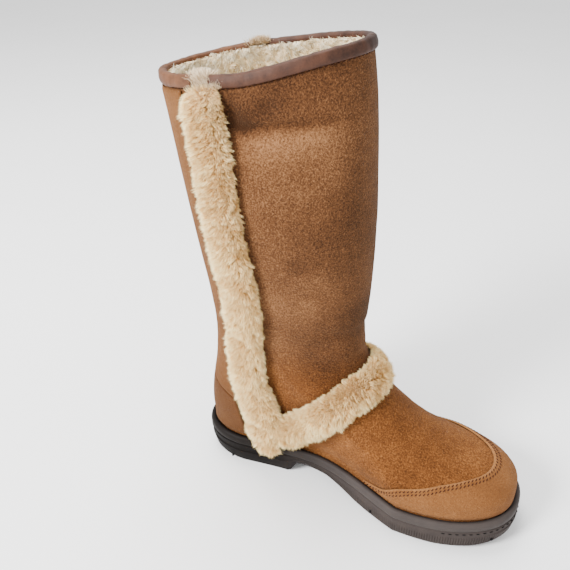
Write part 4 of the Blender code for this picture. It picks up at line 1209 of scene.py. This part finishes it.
def make_heel_panel(surface, stay, heel):
    """The counter and the stay above it, butted at a hairline seam."""
    across = np.linspace(-1, 1, 41)
    top = counter_top(across)
    rows = np.linspace(0, 1, 24)[:, None]
    levels = OVERLAY_FOOT * (1 - rows) + top[None, :] * rows
    turns = np.broadcast_to(across * COUNTER_SHARE / 2, levels.shape)
    shade = np.zeros(levels.shape)
    make_overlay(surface, "heel_counter", turns, levels, ((-1, 0.8),), shade, heel)
    low = counter_top(across * STAY_LINE[0].share / COUNTER_SHARE) + 0.02
    rows = np.linspace(0, 1, 90)[:, None]
    levels = low[None, :] * (1 - rows) + (surface.last - STAY_TOP) * rows
    half = smooth_between(column(STAY_LINE, "level"), column(STAY_LINE, "share"), levels)
    # painted shade: the stay darker low down and lighter toward its top
    shade = 0.10 * np.clip((levels - 16) / 3, 0, 1)
    edge_rows = ((0, 0.8), (-1, 0.4))
    make_overlay(surface, "back_stay", across * half / 2, levels, edge_rows, shade, stay)


def counter_top(across):
    return COUNTER_LEVEL - COUNTER_DROP * across**2


# Fur


def fur_grid(surface, line, arcs=25, step=0.002):
    """Places along a fur roll and over its arch, with outward and lengthwise ways."""
    line = even_line(surface, line, step)
    turn, level = line["turn"], line["level"]
    middle = surface.at(turn, level)
    along = unit(np.gradient(middle, axis=0))
    normal = surface.outward(turn, level)
    across = unit(np.cross(normal, along))
    arch = np.linspace(0, math.pi, arcs)
    half = FUR_WIDTH / 2 * line["width"] * CORE_WIDTH
    reach = np.cos(arch)[None, :] * half[:, None]
    turns = np.broadcast_to(turn[:, None], reach.shape)
    levels = np.broadcast_to(level[:, None], reach.shape)
    side_turn, side_level = walk(surface, turns, levels, across[:, None, :] * reach[..., None])
    out = (FUR_HEIGHT * line["height"])[:, None] * (0.14 + 0.86 * np.sin(arch)[None, :] ** 0.8)
    stand = (line["stand"] * (FEATHER_INSET + FIT_GAP))[:, None]
    drop = np.zeros((len(turn), 1, 3))
    drop[..., 2] = (-line["drop"] * RIM_HEIGHT)[:, None]
    sideways = np.cos(arch)[None, :, None] * across[:, None, :]
    outward = unit(sideways + 1.1 * np.sin(arch)[None, :, None] * normal[:, None, :])
    along = np.broadcast_to(along[:, None, :], outward.shape)
    return {
        "turn": side_turn, "level": side_level, "out": out, "stand": stand, "drop": drop,
        "outward": outward, "along": along, "arch": arch, "step": step,
    }


def sampled(grid, row, place):
    """Bilinear values of a grid at fractional rows and columns."""
    low = np.clip(np.floor(row).astype(int), 0, grid.shape[0] - 2)
    left = np.clip(np.floor(place).astype(int), 0, grid.shape[1] - 2)
    up = (row - low)[:, None]
    over = (place - left)[:, None]
    first = grid[low, left] * (1 - over) + grid[low, left + 1] * over
    second = grid[low + 1, left] * (1 - over) + grid[low + 1, left + 1] * over
    return first * (1 - up) + second * up


def strand_mesh(roots, ways, bends, lengths, locks, width):
    """Thin blades of three triangles, with numbers for the place along a strand and its lock."""
    count = len(roots)
    side = unit(np.cross(ways, unit(rng.normal(size=(count, 3))))) * (width / 2)
    side *= rng.uniform(0.7, 1.2, (count, 1))
    length = lengths[:, None]
    mid = roots + ways * length * 0.5 + bends * length * 0.22
    tip = roots + ways * length * 0.92 + bends * length
    slim = 0.85 * side
    points = np.stack([roots - side, roots + side, mid - slim, mid + slim, tip], axis=1)
    pattern = np.array([[0, 1, 3], [0, 3, 2], [2, 3, 4]])
    faces = pattern[None] + 5 * np.arange(count)[:, None, None]
    tips = np.broadcast_to(np.array([0.0, 0.0, 0.55, 0.55, 1.0]), (count, 5))
    lock = np.broadcast_to(locks[:, None], (count, 5))
    return points.reshape(-1, 3), faces.reshape(-1, 3), {"tip": tips.ravel(), "lock": lock.ravel()}


def in_locks(places, centres):
    """The nearest lock centre of each place."""
    tree = search_tree(centres)
    return np.array([tree.find(place)[1] for place in places])


def make_fur(surface, node, line, comb, strands, pile, material, core_material):
    """A fur roll: a lumpy core under strands gathered in locks."""
    grid = fur_grid(surface, line)
    rows, columns = grid["out"].shape
    under = np.maximum(grid["out"] - pile * np.sin(grid["arch"])[None, :] ** 0.5, 0.0005)
    floor = FUR_GAP + grid["stand"]
    flat = surface.at(grid["turn"], grid["level"], floor + under) + grid["drop"]
    lumps = value_noise(flat.reshape(-1, 3), 0.0045, 5).reshape(under.shape) - 0.5
    core_out = under + 0.0022 * lumps * np.sin(grid["arch"])[None, :]
    core = surface.at(grid["turn"], grid["level"], floor + core_out) + grid["drop"]
    edges = np.s_[:, [-1, 0]]
    foot = surface.at(grid["turn"][edges], grid["level"][edges], floor) + grid["drop"]
    middle = foot.mean(axis=1, keepdims=True)
    base = foot * 0.8 + middle * 0.2
    ring = np.concatenate([core, base], axis=1)
    settle(capped_tube(f"{node}_hair_core", ring, core_material), "fleece")

    row = rng.uniform(0, rows - 1, strands)
    place = rng.uniform(0, columns - 1, strands)
    roots = sampled(core, row, place)
    outward = unit(sampled(grid["outward"], row, place))
    along = unit(sampled(grid["along"], row, place))
    # hair near both ends turns lengthwise, and some of it grows from the end faces
    first, last = (
        np.clip(1 - far * grid["step"] / END_REACH, 0, 1) for far in (row, rows - 1 - row)
    )
    ends = first - last
    on_cap = rng.uniform(0, 1, strands) < 0.45 * np.abs(ends)
    hearts = ring[:, [-2, -1]].mean(axis=1, keepdims=True).repeat(2, axis=1)
    heart = sampled(hearts, row, np.zeros(strands))
    inward_share = np.where(on_cap, rng.uniform(0, 1, strands) ** 0.5, 1.0)[:, None]
    edge_row = np.where(ends > 0, 0.0, rows - 1.0)
    cap_roots = sampled(core, np.where(on_cap, edge_row, row), place)
    roots = np.where(on_cap[:, None], heart + (cap_roots - heart) * inward_share, roots)
    lengthwise = 1.1 * ends * np.where(on_cap, 1, 0.6)
    outward = unit(outward * np.where(on_cap, 0.35, 1.0)[:, None] - along * lengthwise[:, None])
    centre_count = int(rows * grid["step"] * FUR_WIDTH * 1.45 / LOCK_SPACING**2)
    centre_row = rng.uniform(0, rows - 1, centre_count)
    centre_place = rng.uniform(0, columns - 1, centre_count)
    centres = sampled(core, centre_row, centre_place)
    centre_out = unit(sampled(grid["outward"], centre_row, centre_place))
    # locks are longer across the roll than along it
    stretch = np.array([LOCK_STRETCH * grid["step"], FUR_WIDTH * 1.45 / columns / LOCK_STRETCH])
    flat_roots, flat_centres = (
        np.column_stack([pair[0] * stretch[0], pair[1] * stretch[1], np.zeros(len(pair[0]))])
        for pair in ((row, place), (centre_row, centre_place))
    )
    lock = in_locks(flat_roots, flat_centres)
    clump = value_noise(centres, 0.010, 41)
    centre_along = unit(sampled(grid["along"], centre_row, centre_place))
    lean = rng.normal(size=(centre_count, 3)) * 0.24
    lean -= 0.6 * centre_along * (lean * centre_along).sum(axis=1, keepdims=True)
    lock_length = rng.uniform(0.85, 1.12, centre_count) * (0.80 + 0.40 * clump)
    ways = unit(outward + lean[lock] * 0.6 + rng.normal(size=(strands, 3)) * 0.20)
    lengths = pile * lock_length[lock] * rng.uniform(0.80, 1.15, strands)
    high = sampled(grid["out"][..., None], row, place)[:, 0] / (0.6 * FUR_HEIGHT)
    lengths *= 0.62 + 0.38 * np.clip(high, 0, 1)
    gather = centres[lock] + centre_out[lock] * lengths[:, None] - (roots + ways * lengths[:, None])
    bends = 0.42 * gather / lengths[:, None] + lean[lock] * 0.30
    bends += comb.outward * outward + (0, 0, -comb.down)
    bends = np.where(on_cap[:, None], 0.0, bends)
    # painted light: paler toward the boot's back, where the pile lies open to the light
    tint = 0.50 * rng.uniform(0, 1, centre_count) + 0.75 * clump - 0.05
    tint = np.clip(tint - PAINTED_BACK_LIGHT * centre_out[:, 0], 0, 1)
    points, faces, numbers = strand_mesh(roots, ways, bends, lengths, tint[lock], STRAND_WIDTH)
    settle(mesh_object(f"{node}_hair", points, faces, material, False, numbers), "fleece", node)


def make_all_fur(surface):
    materials = (
        fleece("fur_fleece", *FUR_COLOURS),
        fleece_core("fur_core_fleece", *FUR_CORE_COLOURS),
    )
    for side, strands in STRIP_STRANDS.items():
        line = fur_line(STRIP_LINE, side == "lateral")
        make_fur(surface, f"fur_strip_{side}", line, STRIP_COMB, strands, PILE, *materials)
    line = joined_line(fur_line(BAND_LINE, False), fur_line(BAND_LINE, True))
    pile = BAND_PILE_SHARE * PILE
    make_fur(surface, "fur_ankle_band", line, BAND_COMB, BAND_STRANDS, pile, *materials)


# Collar


def make_bindings(surface, thread):
    seam = STRIP_LINE[0].share / 2
    stretches = (
        ("front", seam + HALF_SEAM, 1 - seam - HALF_SEAM, 220),
        ("back", -seam + HALF_SEAM, seam - HALF_SEAM, 110),
    )
    near = BINDING_GAP
    far = BINDING_GAP + BINDING_THICKNESS
    edge = surface.last
    for name, first, last, sections in stretches:
        turns = np.linspace(first, last, sections)
        height = np.linalg.norm(surface.at(turns, edge) - surface.at(turns, edge - 1.0), axis=1)
        outside = -BINDING_HEIGHT / height
        inside = -BINDING_INSIDE / height
        up = surface.upward(turns, edge, 0.2)

        def side(level_share, out, lift):
            return surface.at(turns, edge + level_share, out) + up * lift

        rows = [
            side(outside, near, 0),
            side(outside, far * 0.75, -0.0002),
            side(0.93 * outside, far, 0),
        ]
        for share in (0.75, 0.5, 0.25):
            rows.append(side(share * outside, far + BINDING_SWELL * math.sin(math.pi * share), 0))
        rows.append(side(0, far, near))
        for angle in (0.35, 0.8, 1.25, math.pi / 2, 1.9, 2.35, 2.8):
            out = (WALL / 2 + far) * math.cos(angle) - WALL / 2
            rows.append(side(0, out, near + far * math.sin(angle)))
        for share, out, lift in ((0, far, near), (0.5, far, 0), (1, far, 0), (1, near, 0)):
            rows.append(side(share * inside, -WALL - out, lift))
        rows.append(side(0, -WALL - near, near * 0.6))
        rows.append(side(0, near, near * 0.6))
        ring = np.stack(rows, axis=1)
        # wrinkles across the roll, none where it holds the wall
        visible = np.array([0, 0.3, 0.8, 1, 1, 1, 1, 1, 1, 1, 1, 1, 1, 1, 0.8, 0.5, 0, 0, 0, 0])
        out_way = unit(ring - ring[:, [-2], :] * 0.5 - ring[:, [-1], :] * 0.5)
        squeezed = ring * np.array([1.0, 1.0, 0.35])
        wrinkle = value_noise(squeezed.reshape(-1, 3), 0.0035, 8).reshape(ring.shape[:2]) - 0.5
        broad = value_noise(squeezed.reshape(-1, 3), 0.012, 9).reshape(ring.shape[:2]) - 0.5
        ring = ring + out_way * (visible * (0.00055 * wrinkle + 0.0007 * broad))[..., None]
        shade = np.zeros(ring.shape[:2])
        # painted shade on the front binding, darkest at the front centre
        if name == "front":
            shade -= 0.30 * np.clip(1 - np.abs(turns - 0.5) / 0.16, 0, 1)[:, None]
        material = leather(f"binding_{name}_leather", *BINDING_COLOURS[name])
        item = capped_tube(f"collar_binding_{name}_skin", ring, material)
        keep_number(item.data, "shade", shade)
        settle(item, "binding_leather", f"collar_binding_{name}")
        level = edge + (1 + COLLAR_STITCH_DROP / BINDING_HEIGHT) * outside
        row = f"collar_stitches_{name}"
        item = stitch_row(row, surface, turns, level, SKIN_LIFT, COLLAR_STITCH, thread)
        settle(item, "binding_leather")


def make_lining(surface):
    """Fleece inside the shaft, with strands near the collar."""
    turns = np.arange(180) / 180
    levels = np.linspace(6.0, surface.last - 0.08, 70)
    turn_grid, level_grid = np.meshgrid(turns, levels)
    outer = surface.at(turn_grid, level_grid, -WALL - 0.0003)
    lumps = value_noise(outer.reshape(-1, 3), 0.006, 21).reshape(turn_grid.shape)
    inner = surface.at(turn_grid, level_grid, -WALL - 0.0014 - 0.0022 * lumps)
    points, faces = closed_sheet(outer, inner, True)
    core = fleece_core("lining_fleece", *LINING_CORE_COLOURS)
    item = turned_outward(mesh_object("shaft_lining", points, faces, core))
    settle(item, "fleece")

    strands = LINING_STRANDS
    turn = rng.uniform(0, 1, strands)
    level = surface.last - 0.04 - LINING_REACH * rng.uniform(0, 1, strands) ** 1.3
    normal = surface.outward(turn, level)
    over_binding = level > surface.last - BINDING_INSIDE / COLLAR_ROW_HEIGHT
    depth = np.where(over_binding, BINDING_GAP + BINDING_THICKNESS, LINING_DEPTH)
    roots = surface.at(turn, level, -WALL - depth)
    up = surface.upward(turn, level)
    centre_count = LINING_LOCKS
    centre_turn = rng.uniform(0, 1, centre_count)
    centre_level = surface.last - 0.04 - LINING_REACH * rng.uniform(0, 1, centre_count)
    centres = surface.at(centre_turn, centre_level, -WALL - LINING_DEPTH)
    lock = in_locks(roots, centres)
    lean = rng.normal(size=(centre_count, 3)) * 0.4
    rise = np.where(over_binding, 0.1, 0.55)[:, None]
    ways = unit(rise * up - normal + lean[lock] * 0.7 + 0.2 * rng.normal(size=(strands, 3)))
    lengths = np.where(over_binding, 0.0036, 0.0058) * rng.uniform(0.7, 1.2, strands)
    gather = (centres[lock] - roots) / lengths[:, None]
    bends = 0.5 * gather + np.where(over_binding, 0.0, 0.35)[:, None] * up + lean[lock] * 0.3
    tint = rng.uniform(0, 1, centre_count)[lock]
    points, faces, numbers = strand_mesh(roots, ways, bends, lengths, tint, LINING_STRAND_WIDTH)
    material = fleece("lining_hair_fleece", *LINING_COLOURS, LINING_SHADED)
    settle(mesh_object("lining_hair", points, faces, material, False, numbers), "fleece")


def make_seam_tufts(surface):
    """Tufts of fleece that stand out of the binding's seams and over them, in a greyer cream."""
    material = fleece("seam_tuft_fleece", *TUFT_COLOURS)
    parts = []
    seam = STRIP_LINE[0].share / 2
    count = SEAM_STRANDS
    for mirrored in (False, True):
        depth = rng.uniform(0, 1, count)
        inside = depth > 0.45
        beside = rng.uniform(0, 1, count) < 0.35
        spread = np.clip(rng.normal(0, 0.0105, count), -0.024, 0.020)
        spread = np.where(~inside & beside, rng.uniform(0.012, 0.040, count), spread)
        turn = seam + spread
        reach = np.clip(1.6 - spread / 0.025, 0.1, 1)
        under_edge = 0.30 + 0.22 * rng.uniform(0, 1, count) * reach
        down = np.where(inside, 0.02, 0.60 * rng.uniform(0, 1, count))
        level = surface.last - np.where(~inside & beside, under_edge, down)
        lift = np.where(inside, -WALL * rng.uniform(0, 1.3, count), 0.0006)
        turn = 1 - turn if mirrored else turn
        roots = surface.at(turn, level, lift)
        normal = surface.outward(turn, level)
        up = surface.upward(turn, level)
        lean = value_noise(roots, 0.004, 31)[:, None] - 0.5
        side = np.cross(normal, up)
        ways = np.where(inside[:, None], up - 0.25 * normal, 0.8 * normal + 0.9 * up)
        ways = unit(ways + 1.3 * lean * side + 0.45 * rng.normal(size=(count, 3)))
        lengths = np.where(inside, 0.0075, 0.0050) * rng.uniform(0.35, 1.15, count)
        bends = 0.45 * np.where(inside[:, None], -0.6 * normal, up * 0.6) + 0.5 * lean * side
        tint = rng.uniform(0.2, 1, count)
        parts.append(strand_mesh(roots, ways, bends, lengths, tint, TUFT_STRAND_WIDTH))
    points = np.vstack([part[0] for part in parts])
    faces = np.vstack([parts[0][1], parts[1][1] + len(parts[0][0])])
    numbers = {key: np.concatenate([part[2][key] for part in parts]) for key in ("tip", "lock")}
    settle(mesh_object("seam_tufts", points, faces, material, False, numbers), "fleece")


# Sole


def ring_at(shares_x, inset, height):
    """Points round the sole at these places along it, moved in by an inset."""
    x = shares_x * SOLE_LENGTH
    inset = np.broadcast_to(inset, x.shape)
    sides = []
    for side in (MEDIAL, LATERAL):
        line = sole_side(side)
        normal = inward(line)
        y = np.interp(x, line[:, 0], line[:, 1])
        inward_x = np.interp(x, line[:, 0], normal[:, 0])
        inward_y = np.interp(x, line[:, 0], normal[:, 1])
        inward_x[0], inward_x[-1] = 1.0, -1.0
        inward_y[[0, -1]] = 0.0
        place_x = x + inward_x * inset
        place_y = toe_turn(x) + side.sign * (y + inward_y * inset)
        sides.append(np.column_stack([place_x, place_y, height(x)]))
    return np.vstack([sides[0], sides[1][-2:0:-1]])


def fine_stations(count):
    even = np.linspace(0, 1, count + 1)
    return 0.45 * even + 0.55 * (1 - np.cos(math.pi * even)) / 2


def make_sole():
    """The cup sole with fine ribs, cut by the same tread grooves as the solid."""
    count = 640
    shares = fine_stations(count)
    x = shares * SOLE_LENGTH
    run = run_of(np.column_stack([x, sole_y(x)]))
    wave = 0.5 - 0.5 * np.cos(run / RIB_PITCH * 2 * math.pi)
    ribs = FINE_RIB * wave * np.clip((shares - 0.36) / 0.05, 0, 1)
    ribs *= np.clip((0.97 - shares) / 0.04, 0, 1)
    draft = side_draft(x)
    band_draft = (1 - BAND_SHARE) * draft

    def above(share):
        return lambda v: tread_height(v) + share * TREAD_BEVEL

    rings = [
        ring_at(shares, draft + TREAD_BEVEL + SIDE_STEP, tread_height),
        ring_at(shares, draft + 0.35 * TREAD_BEVEL + SIDE_STEP, above(0.25)),
        ring_at(shares, draft + SIDE_STEP, above(1.0)),
        ring_at(shares, 0.95 * draft + 0.7 * SIDE_STEP + ribs, above(1.3)),
        ring_at(shares, band_draft + 0.4 * SIDE_STEP + ribs, side_band),
        ring_at(shares, band_draft + SIDE_STEP, lambda v: side_band(v) + BAND_BEVEL),
        ring_at(shares, SIDE_STEP, lambda v: body_top(v) - TOP_BEVEL),
        ring_at(shares, SIDE_STEP + TOP_BEVEL, body_top),
    ]
    around = 2 * count
    mesh = bpy.data.meshes.new("outsole_skin")
    faces = grid_quads(len(rings), around, True).tolist()
    for start, flip in ((0, True), ((len(rings) - 1) * around, False)):
        for station in range(count):
            across = (station, station + 1, around - station - 1, around - station)
            corners = list(dict.fromkeys(start + corner % around for corner in across))
            faces.append(corners[::-1] if flip else corners)
    mesh.from_pydata((np.vstack(rings) + SHIFT).tolist(), [], faces)
    mesh.materials.append(rubber("outsole_rubber", *SOLE_COLOURS, 0.72))
    item = turned_outward(linked("outsole_skin", mesh))
    cut = item.modifiers.new("tread_grooves", "BOOLEAN")
    cut.operation = "DIFFERENCE"
    cut.solver = "EXACT"
    cut.object = groove_cutter()
    bpy.context.view_layer.update()
    graph = bpy.context.evaluated_depsgraph_get()
    done = bpy.data.meshes.new_from_object(item.evaluated_get(graph))
    cutter = cut.object
    item.modifiers.clear()
    item.data = done
    done.name = "outsole_skin"
    bpy.data.objects.remove(cutter, do_unlink=True)
    done.polygons.foreach_set("use_smooth", np.ones(len(done.polygons), bool))
    done.set_sharp_from_angle(angle=math.radians(38))
    settle(item, "outsole_rubber", "outsole")


def sole_y(x):
    line = sole_side(MEDIAL)
    return np.interp(x, line[:, 0], line[:, 1])


def make_rim(surface):
    """The rounded rim on the sole, round the upper."""
    count = 400
    turns = np.arange(count) / count
    inner_foot = surface.at(turns, 0, RIM_GAP)
    inner_top = surface.at(turns, 0.95, RIM_GAP)
    outward = unit(surface.sample(surface.normals, turns, 0) * (1, 1, 0))
    width = FEATHER_INSET - RIM_INSET - RIM_GAP
    high = RIM_HEIGHT - 0.0008
    ring = []
    for across, lift in RIM_PROFILE:
        place = inner_foot * (1, 1, 0) + outward * width * across
        if across == 0 and lift > 0:
            place[:, :2] = inner_top[:, :2]
        place[:, 2] = body_top(place[:, 0]) + GAP + high * lift
        ring.append(place)
    ring = np.stack(ring, axis=1)
    around = ring.shape[1]
    quads = grid_quads(count, around, True)
    here = np.arange(around)
    beside = (here + 1) % around
    last = (count - 1) * around
    join = np.stack([last + here, last + beside, beside, here], axis=-1)
    material = rubber("rim_rubber", *RIM_COLOURS, 0.55)
    item = turned_outward(mesh_object("welt_rim_skin", ring, np.vstack([quads, join]), material))
    settle(item, "rim_rubber", "welt_rim")


def make_sole_holes():
    """Black dashes under the rim round the toe, and black rods in the side's notches: painted
    shade.
    """
    shares = np.linspace(DASH_START, 1.0, 400)
    ring = ring_at(shares, SIDE_STEP - 0.0001, lambda x: body_top(x) - TOP_BEVEL - DASH_DROP)[1:-1]
    run = run_of(ring)
    wanted = np.arange(DASH_PITCH, run[-1] - DASH_PITCH, DASH_PITCH)
    centre, ahead = (
        np.column_stack([np.interp(wanted + step, run, values) for values in ring.T])
        for step in (0, 2 * LOOK_AHEAD)
    )
    half = unit(ahead - centre) * DASH_LENGTH / 2
    up = np.broadcast_to(np.array([0.0, 0.0, 1.0]), half.shape)
    points, faces = rod_mesh(centre - half, centre + half, DASH_RADIUS, up)
    black = plain("hole_shade_black", HOLE_SHADE_COLOUR)
    settle(mesh_object("toe_dash_holes", points, faces, black), "outsole_rubber")
    low = []
    for along, side in NOTCHES:
        x = along * SOLE_LENGTH
        y = tread_half_width(side, x) + side_draft(x) + TREAD_BEVEL - 0.6 * NOTCH_DEPTH
        low.append((x, toe_turn(x) + side.sign * y, float(tread_height(x)) + NOTCH_FOOT + 0.0002))
    low = np.array(low)
    high = low + (0, 0, NOTCH_TOP - NOTCH_FOOT - 0.0004)
    forward = np.broadcast_to(np.array([1.0, 0.0, 0.0]), low.shape)
    points, faces = rod_mesh(low, high, 0.45 * NOTCH_WIDTH, forward)
    settle(mesh_object("notch_shadows", points, faces, black), "outsole_rubber")


def dress_insole():
    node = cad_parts["insole"]
    node.data.materials.clear()
    node.data.materials.append(fleece_core("insole_fleece", *INSOLE_COLOURS))


# Stage


def make_stage():
    mesh = bpy.data.meshes.new("floor")
    corners = [(FLOOR_HALF * x, FLOOR_HALF * y, 0) for x, y in ((-1, -1), (1, -1), (1, 1), (-1, 1))]
    mesh.from_pydata(corners, [], [(0, 1, 2, 3)])
    tree = Tree("floor_paint")
    grey = tree.ramp(tree.noise(3.0, 2.0), (0.3, (0.93,) * 3), (0.7, (0.95,) * 3))
    tree.set(Base_Color=grey, Roughness=0.9)
    mesh.materials.append(tree.material)
    linked("floor", mesh)

    world = bpy.data.worlds.new("studio")
    world.use_nodes = True
    sky = world.node_tree.nodes["Background"].inputs
    sky["Color"].default_value = (1.0, 1.0, 1.0, 1.0)
    sky["Strength"].default_value = WORLD_LIGHT
    bpy.context.scene.world = world
    for name, place, width, power in LAMPS:
        lamp = bpy.data.lights.new(name, "AREA")
        lamp.shape = "DISK"
        lamp.size = width
        lamp.energy = power
        item = linked(name, lamp)
        item.location = place
        way = Vector(LAMP_TARGET) - Vector(place)
        item.rotation_euler = way.to_track_quat("-Z", "Y").to_euler()

    lens = bpy.data.cameras.new("camera")
    lens.sensor_width = CAMERA_SENSOR
    lens.lens = CAMERA_LENS
    lens.clip_start = 0.01
    camera = linked("camera", lens)
    camera.location = Vector(CAMERA_TARGET) + CAMERA_DISTANCE * Vector(CAMERA_BACK)
    camera.rotation_euler = (-Vector(CAMERA_BACK)).to_track_quat("-Z", "Y").to_euler()
    bpy.context.scene.camera = camera


def main():
    surface = UpperSurface(columns=480, rows_between=12)
    tan = suede("overlay_suede", *OVERLAY_COLOURS, zones=False, grain=0.7)
    stay = suede("stay_suede", *STAY_COLOURS, zones=False, grain=0.8)
    heel = suede("heel_shadowed_suede", *HEEL_SHADOW_COLOURS, zones=False, grain=0.9)
    thread = plain("thread", THREAD_COLOUR)
    make_upper_skin(surface)
    make_toe_bumper(surface, tan, thread)
    make_heel_panel(surface, stay, heel)
    make_bindings(surface, thread)
    make_lining(surface)
    make_seam_tufts(surface)
    make_all_fur(surface)
    make_sole()
    make_rim(surface)
    make_sole_holes()
    dress_insole()
    make_stage()


main()
